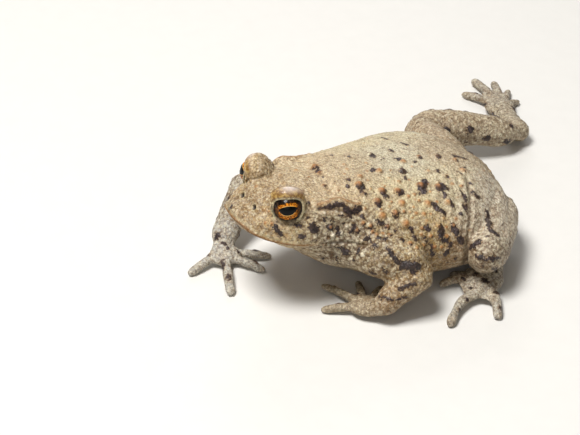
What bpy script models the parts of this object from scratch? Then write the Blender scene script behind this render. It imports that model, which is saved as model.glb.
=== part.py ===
"""Common toad at rest, life size, as one still figure parted into its limbs.

Soft forms are rounded sections carried along a path. They are fused, rounded
and thinned, then trimmed so that each named piece stands one parting gap from
its neighbours. Lengths are in millimetres in the toad's own frame: it faces -Y,
its left is +X and the floor is at zero. The last step puts the middle of the
bounding box's base at the origin and goes to metres.
"""

import math

import bmesh
import bpy
import numpy as np

for item in list(bpy.data.objects):
    bpy.data.objects.remove(item, do_unlink=True)

MM = 0.001
GAP = 0.3
HEAD_PITCH = math.radians(18)
SNOUT = np.array([0.0, -40.0, 25.5])
EYE_RADIUS = 4.1
EYE_PLACE = (8.6, 10.3, 9.1)
EYE_OPENING = (3.7, 3.0)
GAZE = (0.884, -0.44, 0.16)
BROW_RADIUS = 4.75
LID_THICKNESS = 0.55
MOUTH_LENGTH = 19.6
LIP_GROOVE_RADIUS = 0.4
NOSTRIL_PLACE = (3.3, 2.7, 5.9)
NOSTRIL_RADIUS = 0.5
NECK_PLACE = (0.0, -12.6, 18.0)
NECK_LEAN = (0.0, 0.97, -0.24)
WART_COUNT = 46
WART_SIZE = (0.8, 1.5)
WART_SPACING = 4.0
WART_SUNK = 0.35
SKULL_POWER = 2.5
JAW_POWER = 1.5
TRUNK_POWER = 2.15
CORE_VOXEL = 0.55
LIMB_VOXEL = 0.5
DIGIT_VOXEL = 0.3
CORE_TRIANGLES = 3700
LEG_TRIANGLES = 640
ARM_TRIANGLES = 520
HAND_TRIANGLES = 480
FOOT_TRIANGLES = 640
RNG = np.random.default_rng(7)

BACKWARD = np.array([0.0, math.cos(HEAD_PITCH), -math.sin(HEAD_PITCH)])
UPWARD = np.array([0.0, math.sin(HEAD_PITCH), math.cos(HEAD_PITCH)])


def on_head(side, back, height):
    """Point in the head's tilted frame, measured from the snout."""
    return SNOUT + np.array([side, 0.0, 0.0]) + back * BACKWARD + height * UPWARD


def unit(vector):
    """Vector of length one."""
    vector = np.array(vector, float)
    return vector / np.linalg.norm(vector)


# Head: back from the snout, lip height, half width, height above and depth below the lips.
HEAD = [
    (0.1, 0.6, 0.5, 0.5, 0.5),
    (0.8, 0.5, 4.4, 2.9, 1.0),
    (2.5, -0.2, 7.2, 5.8, 1.7),
    (5.0, -0.6, 9.6, 8.1, 2.4),
    (9.0, -0.6, 12.2, 10.3, 3.6),
    (14.0, -0.2, 14.2, 11.5, 5.6),
    (19.0, 0.8, 15.6, 11.8, 8.2),
    (24.0, 1.0, 16.4, 12.0, 10.4),
    (29.0, 0.6, 16.4, 11.2, 11.2),
]
# Trunk: back, centre height, half width, height above and depth below the centre.
TRUNK = [
    (-20.0, 19.5, 6.0, 4.0, 4.0),
    (-16.5, 18.0, 16.0, 12.5, 9.0),
    (-10.0, 17.2, 20.0, 14.6, 11.5),
    (-2.0, 15.6, 22.6, 15.4, 13.9),
    (8.0, 14.2, 25.4, 15.4, 14.4),
    (17.0, 13.2, 27.0, 15.6, 13.9),
    (25.0, 12.5, 25.5, 14.9, 13.0),
    (32.0, 12.0, 20.0, 12.6, 11.0),
    (36.5, 11.8, 14.0, 9.5, 8.0),
    (39.3, 11.6, 6.0, 5.0, 5.0),
    (40.0, 11.6, 0.5, 0.5, 0.5),
]
# Gland behind each eye: side, back and height on the head, then half width, rise and depth.
PAROTOID = [
    (10.0, 15.8, 10.0, 1.4, 1.2, 1.2),
    (10.9, 18.4, 10.7, 3.2, 2.6, 2.6),
    (11.8, 22.0, 10.9, 3.9, 3.2, 3.2),
    (12.5, 26.0, 10.1, 4.0, 3.2, 3.2),
    (13.2, 29.6, 8.7, 3.0, 2.4, 2.4),
    (13.4, 31.4, 7.8, 1.2, 1.0, 1.0),
]
# Limbs: the centre line's point, then half width, height above and depth below it.
LIMBS = {
    "upper_arm_left": [
        (13.0, -11.0, 16.0, 5.0, 5.0, 5.0),
        (20.0, -7.0, 15.5, 6.0, 6.5, 6.0),
        (24.5, -2.0, 15.0, 5.5, 6.0, 6.0),
        (27.3, 1.5, 14.2, 4.6, 4.8, 4.8),
        (28.5, 3.0, 14.0, 2.0, 2.0, 2.0),
    ],
    "forearm_left": [
        (28.3, 3.6, 14.5, 2.0, 2.0, 2.0),
        (27.8, 2.0, 13.0, 4.8, 4.3, 4.3),
        (28.0, -2.0, 10.5, 4.8, 4.3, 4.3),
        (28.0, -6.5, 7.2, 3.8, 3.4, 3.4),
        (27.6, -10.0, 4.2, 3.2, 2.6, 2.6),
        (26.6, -11.4, 3.2, 1.5, 1.2, 1.2),
    ],
    "upper_arm_right": [
        (-13.0, -11.0, 16.0, 5.0, 5.0, 5.0),
        (-20.0, -11.5, 15.5, 5.6, 6.0, 6.0),
        (-25.0, -13.5, 14.5, 5.2, 5.5, 5.5),
        (-29.5, -16.5, 13.5, 4.5, 4.5, 4.5),
        (-31.0, -17.8, 13.5, 2.0, 2.0, 2.0),
    ],
    "forearm_right": [
        (-30.5, -16.5, 14.0, 2.0, 2.0, 2.0),
        (-29.8, -18.0, 13.0, 4.4, 4.2, 4.2),
        (-26.5, -23.5, 10.5, 4.4, 4.2, 4.2),
        (-22.5, -29.0, 7.2, 3.8, 3.4, 3.4),
        (-19.2, -33.0, 4.2, 3.2, 2.5, 2.5),
        (-18.2, -34.2, 3.2, 1.5, 1.2, 1.2),
    ],
    "thigh_left": [
        (5.0, 37.0, 13.5, 4.5, 5.0, 5.0),
        (13.0, 33.0, 13.5, 5.6, 6.6, 7.0),
        (20.0, 28.5, 13.2, 5.6, 6.6, 6.8),
        (26.5, 23.5, 12.6, 5.0, 5.6, 6.2),
        (31.0, 20.0, 12.2, 4.4, 4.8, 5.4),
        (33.2, 18.3, 12.0, 2.0, 2.0, 2.0),
    ],
    "shank_left": [
        (33.2, 19.9, 12.0, 2.0, 2.0, 2.0),
        (30.6, 21.9, 12.0, 4.0, 4.4, 4.8),
        (25.4, 27.6, 12.0, 4.4, 4.6, 5.0),
        (19.2, 33.6, 12.0, 4.2, 4.4, 4.6),
        (12.8, 38.7, 11.8, 3.2, 3.2, 3.4),
        (10.2, 40.6, 11.6, 1.5, 1.5, 1.5),
    ],
    "thigh_right": [
        (-5.0, 35.0, 13.5, 6.0, 6.5, 6.5),
        (-12.0, 36.0, 13.5, 6.3, 7.0, 7.5),
        (-20.0, 37.5, 12.8, 6.0, 6.6, 7.0),
        (-30.0, 39.2, 11.6, 5.0, 5.4, 5.6),
        (-35.0, 40.0, 11.0, 4.2, 4.4, 4.6),
        (-37.5, 40.2, 10.8, 2.0, 2.0, 2.0),
    ],
    "shank_right": [
        (-37.5, 38.5, 10.8, 2.0, 2.0, 2.0),
        (-36.0, 41.0, 10.8, 4.4, 4.6, 4.8),
        (-33.8, 48.0, 10.0, 5.4, 5.6, 5.4),
        (-30.4, 58.5, 8.4, 4.8, 4.8, 4.8),
        (-27.0, 68.5, 6.2, 3.4, 3.4, 3.6),
        (-26.0, 71.8, 5.7, 1.5, 1.5, 1.5),
    ],
    "foot_left": [
        (9.6, 41.6, 11.0, 1.5, 1.5, 1.5),
        (11.5, 40.6, 9.3, 2.8, 2.8, 2.8),
        (19.0, 33.4, 5.4, 2.8, 2.6, 2.6),
        (24.6, 26.5, 3.3, 3.8, 2.4, 2.4),
        (29.2, 21.4, 2.4, 5.0, 2.1, 2.1),
        (31.6, 18.6, 1.9, 3.4, 1.3, 1.3),
    ],
    "foot_right": [
        (-25.4, 72.4, 5.5, 1.5, 1.5, 1.5),
        (-27.0, 73.0, 4.8, 2.8, 2.8, 2.8),
        (-34.5, 75.2, 3.5, 2.8, 2.6, 2.6),
        (-42.0, 77.4, 2.8, 3.4, 2.2, 2.2),
        (-48.0, 79.2, 2.3, 4.6, 1.9, 1.9),
        (-51.0, 80.2, 1.9, 2.8, 1.2, 1.2),
    ],
    "hand_left": [
        (28.0, -9.4, 4.2, 2.0, 1.8, 1.8),
        (26.2, -10.6, 3.2, 3.2, 2.0, 2.0),
        (23.4, -11.6, 2.5, 4.3, 1.9, 1.9),
        (20.4, -12.4, 2.1, 3.4, 1.5, 1.5),
        (19.2, -12.6, 1.9, 1.8, 1.0, 1.0),
    ],
    "hand_right": [
        (-19.8, -32.2, 4.2, 2.0, 1.8, 1.8),
        (-18.4, -33.2, 3.2, 3.2, 2.0, 2.0),
        (-16.0, -34.0, 2.5, 4.4, 1.9, 1.9),
        (-13.4, -34.6, 2.1, 3.6, 1.5, 1.5),
        (-12.2, -34.8, 1.9, 1.8, 1.0, 1.0),
    ],
}
# Fingers and toes: the root's and the tip's radius, then points from root to tip.
DIGITS = {
    "hand_left": [
        (1.5, 0.95, [(22.6, -13.0, 2.2), (20.0, -17.4, 1.9), (17.6, -21.4, 1.0)]),
        (1.6, 1.0, [(20.6, -12.6, 2.2), (14.0, -14.4, 2.0), (8.0, -16.4, 1.0)]),
        (1.5, 0.95, [(20.8, -11.2, 2.2), (15.6, -9.0, 1.9), (11.6, -7.4, 1.0)]),
        (1.5, 0.95, [(22.8, -10.6, 2.2), (19.4, -6.4, 1.9), (16.8, -3.2, 1.0)]),
    ],
    "hand_right": [
        (1.5, 0.95, [(-17.0, -35.0, 2.2), (-15.6, -40.0, 1.9), (-14.2, -45.2, 1.0)]),
        (1.6, 1.0, [(-13.6, -34.8, 2.2), (-7.0, -37.4, 2.0), (-0.9, -39.6, 1.0)]),
        (1.5, 0.95, [(-13.8, -33.2, 2.2), (-9.6, -29.8, 1.9), (-6.0, -27.2, 1.0)]),
        (1.5, 0.95, [(-16.0, -32.0, 2.2), (-13.0, -27.0, 1.9), (-10.9, -22.6, 1.0)]),
    ],
    "foot_left": [
        (1.3, 0.9, [(26.4, 23.4, 2.0), (23.4, 22.4, 1.8), (21.2, 21.6, 0.95)]),
        (1.4, 0.9, [(27.2, 21.8, 2.0), (23.4, 19.4, 1.8), (20.4, 17.2, 0.95)]),
        (1.5, 1.0, [(28.2, 20.4, 2.2), (25.2, 18.6, 2.2), (23.9, 15.6, 2.0), (22.9, 12.4, 1.0)]),
        (1.7, 1.0, [(30.4, 19.4, 2.3), (32.7, 16.6, 2.5), (33.2, 12.8, 2.5),
                    (35.6, 8.6, 2.0), (38.9, 4.6, 1.0)]),
        (1.7, 1.1, [(31.0, 20.6, 2.3), (34.6, 20.8, 2.2), (38.0, 19.6, 2.0), (42.0, 17.5, 1.1)]),
    ],
    "foot_right": [
        (1.3, 0.9, [(-46.0, 80.8, 2.0), (-47.6, 84.0, 1.8), (-48.4, 87.0, 0.95)]),
        (1.4, 0.9, [(-48.0, 81.2, 2.0), (-52.0, 85.0, 1.8), (-55.2, 88.0, 0.95)]),
        (1.5, 0.95, [(-49.6, 80.8, 2.1), (-56.0, 84.4, 1.9), (-61.8, 87.0, 1.0)]),
        (1.6, 1.0, [(-50.0, 79.8, 2.2), (-58.0, 81.2, 2.0), (-66.2, 82.2, 1.0)]),
        (1.5, 1.0, [(-49.0, 78.2, 2.1), (-55.0, 76.6, 1.9), (-60.4, 74.6, 1.0)]),
    ],
}


def carried(rows, count):
    """Rows resampled on a smooth curve through them, spaced by arc length."""
    rows = np.array(rows, float)
    steps = np.linalg.norm(np.diff(rows[:, :3], axis=0), axis=1)
    place = np.concatenate([[0.0], np.cumsum(np.maximum(steps, 1e-6))])
    at = np.linspace(0.0, place[-1], count)
    slope = np.gradient(rows, place, axis=0)
    left = np.clip(np.searchsorted(place, at, side="right") - 1, 0, len(place) - 2)
    span = (place[left + 1] - place[left])[:, None]
    u = (at - place[left])[:, None] / span
    start = (2 * u**3 - 3 * u**2 + 1) * rows[left] + (u**3 - 2 * u**2 + u) * span * slope[left]
    end = (3 * u**2 - 2 * u**3) * rows[left + 1] + (u**3 - u**2) * span * slope[left + 1]
    return start + end


def rings(rows, count, sides, upper=2.0, lower=2.0):
    """Sections carried along the rows; a higher power makes a half section squarer."""
    line = carried(rows, count)
    along = np.gradient(line[:, :3], axis=0)
    along /= np.linalg.norm(along, axis=1)[:, None]
    across = np.cross(along, [0.0, 0.0, 1.0])
    across /= np.linalg.norm(across, axis=1)[:, None]
    over = np.cross(across, along)
    turn = np.linspace(0.0, 2 * math.pi, sides, endpoint=False)
    power = np.where(np.sin(turn) > 0, upper, lower)
    cosine = np.sign(np.cos(turn)) * abs(np.cos(turn)) ** (2 / power)
    sine = np.sign(np.sin(turn)) * abs(np.sin(turn)) ** (2 / power)
    size = np.maximum(line[:, 3:], 0.05)
    wide = size[:, :1] * cosine
    high = np.where(sine > 0, size[:, 1:2], size[:, 2:3]) * sine
    return line[:, None, :3] + wide[..., None] * across[:, None] + high[..., None] * over[:, None]


def ball(centre, radius, count, sides):
    """Rings of a ball, from its top to its base."""
    polar = np.linspace(0.06, math.pi - 0.06, count)
    turn = np.linspace(0.0, 2 * math.pi, sides, endpoint=False)
    x = np.sin(polar)[:, None] * np.cos(turn)
    y = np.sin(polar)[:, None] * np.sin(turn)
    z = np.cos(polar)[:, None] * np.ones(sides)
    return np.asarray(centre) + np.stack([x, y, z], axis=-1) * radius


def digit(root, tip, points):
    """Rings of a tapered finger or toe with a rounded tip."""
    points = np.array(points)
    end = points[-1] + unit(points[-1] - points[-2]) * tip * 0.8
    radii = np.append(np.linspace(root, tip, len(points)), tip * 0.6)
    rows = np.column_stack([np.vstack([points, end]), radii, radii * 0.9, radii * 0.9])
    return rings(rows, 14, 12)


def head_rings(count, sides):
    """Rings of the head: a squarer skull over a lower jaw that tucks in."""
    rows = [(*on_head(0.0, back, height), *size) for back, height, *size in HEAD]
    return rings(rows, count, sides, SKULL_POWER, JAW_POWER)


def add_mesh(name, vertices, faces):
    """New object from points in millimetres, with its faces turned outward."""
    mesh = bpy.data.meshes.new(name)
    mesh.from_pydata([tuple(v) for v in vertices], [], [tuple(f) for f in faces])
    shape = bpy.data.objects.new(name, mesh)
    bpy.context.scene.collection.objects.link(shape)
    work = bmesh.new()
    work.from_mesh(mesh)
    bmesh.ops.recalc_face_normals(work, faces=work.faces)
    work.to_mesh(mesh)
    work.free()
    return shape


def add_bodies(name, grids):
    """One object from several ring grids, each capped at both ends."""
    points = []
    faces = []
    for grid in grids:
        count, sides, _ = grid.shape
        index = len(points) + np.arange(count * sides).reshape(count, sides)
        after = np.roll(index, -1, axis=1)
        quads = np.stack([index[:-1], after[:-1], after[1:], index[1:]], axis=-1)
        points.extend(grid.reshape(-1, 3))
        faces.extend(quads.reshape(-1, 4).tolist())
        faces.extend([index[0][::-1].tolist(), index[-1].tolist()])
    return add_mesh(name, points, faces)


def settle(shape):
    """Apply the modifiers of a shape."""
    graph = bpy.context.evaluated_depsgraph_get()
    mesh = bpy.data.meshes.new_from_object(shape.evaluated_get(graph))
    shape.modifiers.clear()
    shape.data = mesh
    return shape


def fuse(name, grids, voxel, rounds, triangles):
    """Fuse overlapping bodies into one skin, round its creases and thin it."""
    shape = add_bodies(name, grids)
    remesh = shape.modifiers.new("fuse", "REMESH")
    remesh.mode = "VOXEL"
    remesh.voxel_size = voxel
    settle(shape)
    smooth = shape.modifiers.new("round", "SMOOTH")
    smooth.factor = 0.5
    smooth.iterations = rounds
    settle(shape)
    thin = shape.modifiers.new("thin", "DECIMATE")
    thin.ratio = min(1.0, triangles / (2 * len(shape.data.polygons)))
    thin.use_collapse_triangulate = True
    return settle(shape)


def work_with(shape, tool, operation):
    """Boolean of a shape with a tool, which is then removed."""
    cut = shape.modifiers.new("cut", "BOOLEAN")
    cut.operation = operation
    cut.solver = "EXACT"
    cut.object = tool
    settle(shape)
    bpy.data.objects.remove(tool, do_unlink=True)
    return shape


def copy_of(shape, name):
    """Copy of a shape with its own mesh."""
    twin = shape.copy()
    twin.data = shape.data.copy()
    twin.name = name
    bpy.context.scene.collection.objects.link(twin)
    return twin


def points_of(shape):
    """Points of a shape as an array."""
    flat = np.empty(len(shape.data.vertices) * 3)
    shape.data.vertices.foreach_get("co", flat)
    return flat.reshape(-1, 3)


def trim(shape, *neighbours):
    """Trim a shape one gap clear of each neighbour's skin."""
    for neighbour in neighbours:
        tool = copy_of(neighbour, "grown")
        normals = np.empty(len(tool.data.vertices) * 3)
        tool.data.vertices.foreach_get("normal", normals)
        grown = points_of(tool).reshape(-1) + normals * GAP
        tool.data.vertices.foreach_set("co", grown)
        tool.data.update()
        work_with(shape, tool, "DIFFERENCE")
    return shape


def half_space(point, normal, reach=150.0):
    """Large box that fills the side of a plane that its normal points to."""
    normal = unit(normal)
    first = unit(np.cross(normal, [1.0, 0.0, 0.0] if abs(normal[0]) < 0.8 else [0.0, 1.0, 0.0]))
    second = np.cross(normal, first)
    corners = []
    for depth in (0.0, reach):
        for a, b in ((-1, -1), (1, -1), (1, 1), (-1, 1)):
            corners.append(np.array(point) + normal * depth + reach * (a * first + b * second))
    faces = [(3, 2, 1, 0), (4, 5, 6, 7), (0, 1, 5, 4), (1, 2, 6, 5), (2, 3, 7, 6), (3, 0, 4, 7)]
    return add_mesh("half_space", corners, faces)


pieces = {}


def part(shape, point, normal, behind, ahead):
    """Part a shape along a plane into two named pieces, one gap apart."""
    step = unit(normal) * GAP / 2
    pieces[behind] = work_with(copy_of(shape, behind), half_space(point - step, step), "DIFFERENCE")
    pieces[ahead] = work_with(copy_of(shape, ahead), half_space(point + step, -step), "DIFFERENCE")
    bpy.data.objects.remove(shape, do_unlink=True)


# Warts are low domes on the back and flanks, their roots sunk in the skin.
trunk = rings([(0.0, *row) for row in TRUNK], 60, 72, TRUNK_POWER, TRUNK_POWER)
along = np.gradient(trunk, axis=0)
around = np.gradient(trunk, axis=1)
outward = np.cross(along, around)
outward /= np.linalg.norm(outward, axis=2)[..., None]
warts = []
taken = []
while len(warts) < WART_COUNT:
    ring = RNG.integers(12, 50)
    side = RNG.integers(1, 35)
    size = RNG.uniform(*WART_SIZE)
    if all(np.linalg.norm(trunk[ring, side] - other) > WART_SPACING for other in taken):
        taken.append(trunk[ring, side])
        centre = trunk[ring, side] - outward[ring, side] * size * WART_SUNK
        warts.append(ball(centre, size, 8, 10))

# Head and trunk are one skin, with the brows over the eyes and the glands behind them.
glands = []
for side in (1, -1):
    rows = [(*on_head(side * x, back, height), *size) for x, back, height, *size in PAROTOID]
    glands.append(rings(rows, 16, 16))
    x, back, height = EYE_PLACE
    glands.append(ball(on_head(side * x, back, height), BROW_RADIUS, 16, 24))
core_grids = [head_rings(40, 64), trunk, *glands, *warts]
core = fuse("core", core_grids, CORE_VOXEL, 5, CORE_TRIANGLES)

# Each limb is fused with its lower half, trimmed to the trunk and parted at its bend.
for side in ("left", "right"):
    leg_grids = [rings(LIMBS["thigh_" + side], 20, 20), rings(LIMBS["shank_" + side], 20, 20)]
    arm_grids = [rings(LIMBS["upper_arm_" + side], 20, 20), rings(LIMBS["forearm_" + side], 20, 20)]
    leg = fuse("leg", leg_grids, LIMB_VOXEL, 5, LEG_TRIANGLES)
    arm = fuse("arm", arm_grids, LIMB_VOXEL, 5, ARM_TRIANGLES)
    limbs = {
        "foot_": (leg, "thigh_", "shank_", FOOT_TRIANGLES),
        "hand_": (arm, "upper_arm_", "forearm_", HAND_TRIANGLES),
    }
    for end, (limb, upper, lower, triangles) in limbs.items():
        base = rings(LIMBS[end + side], 20, 20)
        digits = [digit(*sizes) for sizes in DIGITS[end + side]]
        pieces[end + side] = fuse(end + side, [base, *digits], DIGIT_VOXEL, 4, triangles)
        trim(pieces[end + side], limb, core)
        trim(limb, core)
        root = np.array(LIMBS[upper + side][1][:3])
        bend = (np.array(LIMBS[upper + side][-2][:3]) + np.array(LIMBS[lower + side][1][:3])) / 2
        tip = np.array(LIMBS[lower + side][-2][:3])
        part(limb, bend, unit(tip - bend) - unit(root - bend), upper + side, lower + side)
part(core, np.array(NECK_PLACE), NECK_LEAN, "head", "torso")

# Each eye is a ball in a lidded socket that opens along the gaze.
for side, word in ((1, "left"), (-1, "right")):
    x, back, height = EYE_PLACE
    centre = on_head(side * x, back, height)
    gaze = unit([side * GAZE[0], GAZE[1], GAZE[2]])
    socket_radius = EYE_RADIUS + GAP
    lids = add_bodies("lids", [ball(centre, socket_radius + LID_THICKNESS, 12, 18)])
    work_with(pieces["head"], lids, "UNION")
    across = unit(np.cross(gaze, [0.0, 0.0, 1.0]))
    over = np.cross(across, gaze)
    turn = np.linspace(0.0, 2 * math.pi, 24, endpoint=False)[:, None]
    oval = EYE_OPENING[0] * np.cos(turn) * across + EYE_OPENING[1] * np.sin(turn) * over
    cone = np.stack([centre + 0.94 * oval + 2.0 * gaze, centre + 1.35 * oval + 8.0 * gaze])
    work_with(pieces["head"], add_bodies("opening", [cone]), "DIFFERENCE")
    socket = add_bodies("socket", [ball(centre, socket_radius, 10, 16)])
    work_with(pieces["head"], socket, "DIFFERENCE")
    pieces["eye_" + word] = add_bodies("eye_" + word, [ball(centre, EYE_RADIUS, 11, 16)])

# The closed lips are a groove round the head's widest line, and each nostril is a pit.
lips = head_rings(64, 16)
reach = (lips[:, 0] - SNOUT) @ BACKWARD < MOUTH_LENGTH
lip_line = np.concatenate([lips[reach, 8][:0:-1], lips[reach, 0][1:]])[::3]
lip_rows = np.column_stack([lip_line, np.full((len(lip_line), 3), LIP_GROOVE_RADIUS)])
work_with(pieces["head"], add_bodies("lips", [rings(lip_rows, 36, 6)]), "DIFFERENCE")
for side in (1, -1):
    pit = on_head(side * NOSTRIL_PLACE[0], NOSTRIL_PLACE[1], NOSTRIL_PLACE[2])
    nostril = add_bodies("nostril", [ball(pit, NOSTRIL_RADIUS, 7, 10)])
    work_with(pieces["head"], nostril, "DIFFERENCE")

# The belly, hands and feet rest on small flats at the floor's level.
for name in ("torso", "hand_left", "hand_right", "foot_left", "foot_right"):
    work_with(pieces[name], half_space((0.0, 0.0, 0.0), (0.0, 0.0, -1.0)), "DIFFERENCE")

# The middle of the base goes to the origin, and every piece gets its own finish.
every = np.concatenate([points_of(shape) for shape in pieces.values()])
middle = (every.min(axis=0) + every.max(axis=0)) / 2
base_centre = np.array([middle[0], middle[1], every[:, 2].min()])
FINISHES = {
    "eye": ((0.42, 0.20, 0.05, 1.0), 0.08),
    "hand": ((0.42, 0.40, 0.37, 1.0), 0.55),
    "foot": ((0.42, 0.40, 0.37, 1.0), 0.55),
    "head": ((0.50, 0.39, 0.27, 1.0), 0.55),
    "torso": ((0.52, 0.43, 0.31, 1.0), 0.6),
}
LIMB_FINISH = ((0.48, 0.38, 0.27, 1.0), 0.6)
for name, shape in pieces.items():
    shape.name = name
    shape.data.name = name
    placed = (points_of(shape) - base_centre) * MM
    shape.data.vertices.foreach_set("co", placed.reshape(-1))
    work = bmesh.new()
    work.from_mesh(shape.data)
    bmesh.ops.remove_doubles(work, verts=work.verts, dist=1e-6)
    bmesh.ops.dissolve_degenerate(work, edges=work.edges, dist=1e-6)
    bmesh.ops.triangulate(work, faces=work.faces)
    work.to_mesh(shape.data)
    work.free()
    colour, roughness = FINISHES.get(name.split("_")[0], LIMB_FINISH)
    material = bpy.data.materials.new(name)
    material.use_nodes = True
    surface = material.node_tree.nodes["Principled BSDF"]
    surface.inputs["Base Color"].default_value = colour
    surface.inputs["Roughness"].default_value = roughness
    surface.inputs["Metallic"].default_value = 0.0
    shape.data.materials.clear()
    shape.data.materials.append(material)
    shape.data.shade_smooth()
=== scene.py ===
"""A common toad at rest on the floor, life size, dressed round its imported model.

Lengths are in millimetres in the toad's own frame: it faces -Y, its left is +X and
the floor is at zero. Each finished mesh then goes to the row's frame in metres.
"""

import math

import bmesh
import bpy
import numpy as np
from mathutils import Matrix, Vector


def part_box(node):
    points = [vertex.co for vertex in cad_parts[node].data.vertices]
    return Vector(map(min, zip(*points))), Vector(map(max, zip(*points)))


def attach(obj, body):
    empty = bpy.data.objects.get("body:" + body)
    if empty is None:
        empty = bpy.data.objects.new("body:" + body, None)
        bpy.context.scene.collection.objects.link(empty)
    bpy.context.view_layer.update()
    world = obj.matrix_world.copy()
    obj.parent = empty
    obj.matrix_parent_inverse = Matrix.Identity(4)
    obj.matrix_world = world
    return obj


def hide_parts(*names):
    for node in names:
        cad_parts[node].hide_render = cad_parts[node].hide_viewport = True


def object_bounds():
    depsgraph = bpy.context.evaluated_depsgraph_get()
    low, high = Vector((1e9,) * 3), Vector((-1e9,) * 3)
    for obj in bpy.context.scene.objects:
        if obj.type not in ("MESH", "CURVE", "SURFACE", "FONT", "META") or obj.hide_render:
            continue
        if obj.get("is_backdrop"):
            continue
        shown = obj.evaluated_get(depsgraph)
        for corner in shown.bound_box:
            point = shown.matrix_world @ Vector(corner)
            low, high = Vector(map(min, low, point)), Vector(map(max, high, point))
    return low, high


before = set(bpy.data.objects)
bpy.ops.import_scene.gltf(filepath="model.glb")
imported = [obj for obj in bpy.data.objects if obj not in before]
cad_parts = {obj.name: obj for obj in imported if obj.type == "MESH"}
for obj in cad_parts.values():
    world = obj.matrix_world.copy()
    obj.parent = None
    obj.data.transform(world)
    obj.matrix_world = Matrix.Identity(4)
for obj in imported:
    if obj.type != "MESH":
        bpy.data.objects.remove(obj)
cad_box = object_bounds()

# Head: a broad wedge of skull, tilted up from the trunk, with a lower jaw that tucks in
# under the lips. Its places are given from the snout: to the side, back and up. The packed
# left eye, a ball in its socket, gives the step from the toad's frame to the row's.
HEAD_PITCH = math.radians(18)
SNOUT = np.array([0.0, -40.0, 25.5])
BACKWARD = np.array([0.0, math.cos(HEAD_PITCH), -math.sin(HEAD_PITCH)])
UPWARD = np.array([0.0, math.sin(HEAD_PITCH), math.cos(HEAD_PITCH)])
EYE_PLACE = (8.6, 10.3, 9.1)
# Back from the snout, lip height, half width, height above and depth below the lips.
HEAD = [
    (0.1, 0.6, 0.5, 0.5, 0.5),
    (0.8, 0.5, 4.4, 2.9, 1),
    (2.5, -0.2, 7.2, 5.8, 1.7),
    (5, -0.6, 9.6, 8.1, 2.4),
    (9, -0.6, 12.2, 10.3, 3.6),
    (14, -0.2, 14.2, 11.5, 5.6),
    (19, 0.8, 15.6, 11.8, 8.2),
    (24, 1, 16.4, 12, 10.4),
    (29, 0.6, 16.4, 11.2, 11.2),
]
SKULL_POWER = 2.5
JAW_POWER = 1.5
BROW_RADIUS = 4.75
HEAD_GRID = (120, 160)
BROW_GRID = (40, 60)
LEAST_SIZE = 0.05
POLE_GAP = 0.02
PER_METRE = 1000.0
MILLIMETRE = 0.001


def on_head(side, back, height):
    """Point in the head's tilted frame, measured from the snout."""
    return SNOUT + np.array([side, 0.0, 0.0]) + back * BACKWARD + height * UPWARD


def sided(side, place):
    """Point on the head's left or right, from its place on the left."""
    x, back, height = place
    return on_head(side * x, back, height)


eye_low, eye_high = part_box("eye_left")
TO_ROW = (np.array(eye_low) + np.array(eye_high)) / 2 * PER_METRE - on_head(*EYE_PLACE)


def carried(rows, count):
    """Rows resampled on a smooth curve through them, spaced by arc length."""
    rows = np.array(rows, float)
    steps = np.linalg.norm(np.diff(rows[:, :3], axis=0), axis=1)
    place = np.concatenate([[0.0], np.cumsum(np.maximum(steps, 1e-6))])
    at = np.linspace(0.0, place[-1], count)
    slope = np.gradient(rows, place, axis=0)
    left = np.clip(np.searchsorted(place, at, side="right") - 1, 0, len(place) - 2)
    span = (place[left + 1] - place[left])[:, None]
    u = (at - place[left])[:, None] / span
    start = (2 * u**3 - 3 * u**2 + 1) * rows[left] + (u**3 - 2 * u**2 + u) * span * slope[left]
    end = (3 * u**2 - 2 * u**3) * rows[left + 1] + (u**3 - u**2) * span * slope[left + 1]
    return start + end


def rings(rows, count, sides, upper=2.0, lower=2.0):
    """Section carried along the rows: half width times cosine across, half height times sine
    over, each raised to two over the half section's power, which makes it squarer."""
    line = carried(rows, count)
    along = np.gradient(line[:, :3], axis=0)
    along /= np.linalg.norm(along, axis=1)[:, None]
    across = np.cross(along, [0.0, 0.0, 1.0])
    across /= np.linalg.norm(across, axis=1)[:, None]
    over = np.cross(across, along)
    turn = np.linspace(0.0, 2 * math.pi, sides, endpoint=False)
    power = np.where(np.sin(turn) > 0, upper, lower)
    cosine = np.sign(np.cos(turn)) * abs(np.cos(turn)) ** (2 / power)
    sine = np.sign(np.sin(turn)) * abs(np.sin(turn)) ** (2 / power)
    size = np.maximum(line[:, 3:], LEAST_SIZE)
    wide = size[:, :1] * cosine
    high = np.where(sine > 0, size[:, 1:2], size[:, 2:3]) * sine
    return line[:, None, :3] + wide[..., None] * across[:, None] + high[..., None] * over[:, None]


def globe(centre, axes, radii, count, sides):
    """Ball about the first axis: at each angle from it, the radius for that angle times the
    angle's cosine along the axis and its sine, turned full circle, across the other two."""
    polar = np.linspace(POLE_GAP, math.pi - POLE_GAP, count)[:, None, None]
    turn = np.linspace(0.0, 2 * math.pi, sides, endpoint=False)[None, :, None]
    ahead, across, over = axes
    circle = np.cos(turn) * across + np.sin(turn) * over
    return centre + np.asarray(radii) * (np.cos(polar) * ahead + np.sin(polar) * circle)


def head_rings(count, sides):
    """Rings of the head: a squarer skull above the lips and a narrow jaw below them."""
    rows = [(*on_head(0.0, back, height), *size) for back, height, *size in HEAD]
    return rings(rows, count, sides, SKULL_POWER, JAW_POWER)


UPRIGHT = (np.array([0.0, 0.0, 1.0]), np.array([1.0, 0.0, 0.0]), np.array([0.0, 1.0, 0.0]))
forms = [head_rings(*HEAD_GRID)]
for side in (1, -1):
    forms.append(globe(sided(side, EYE_PLACE), UPRIGHT, BROW_RADIUS, *BROW_GRID))

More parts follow.
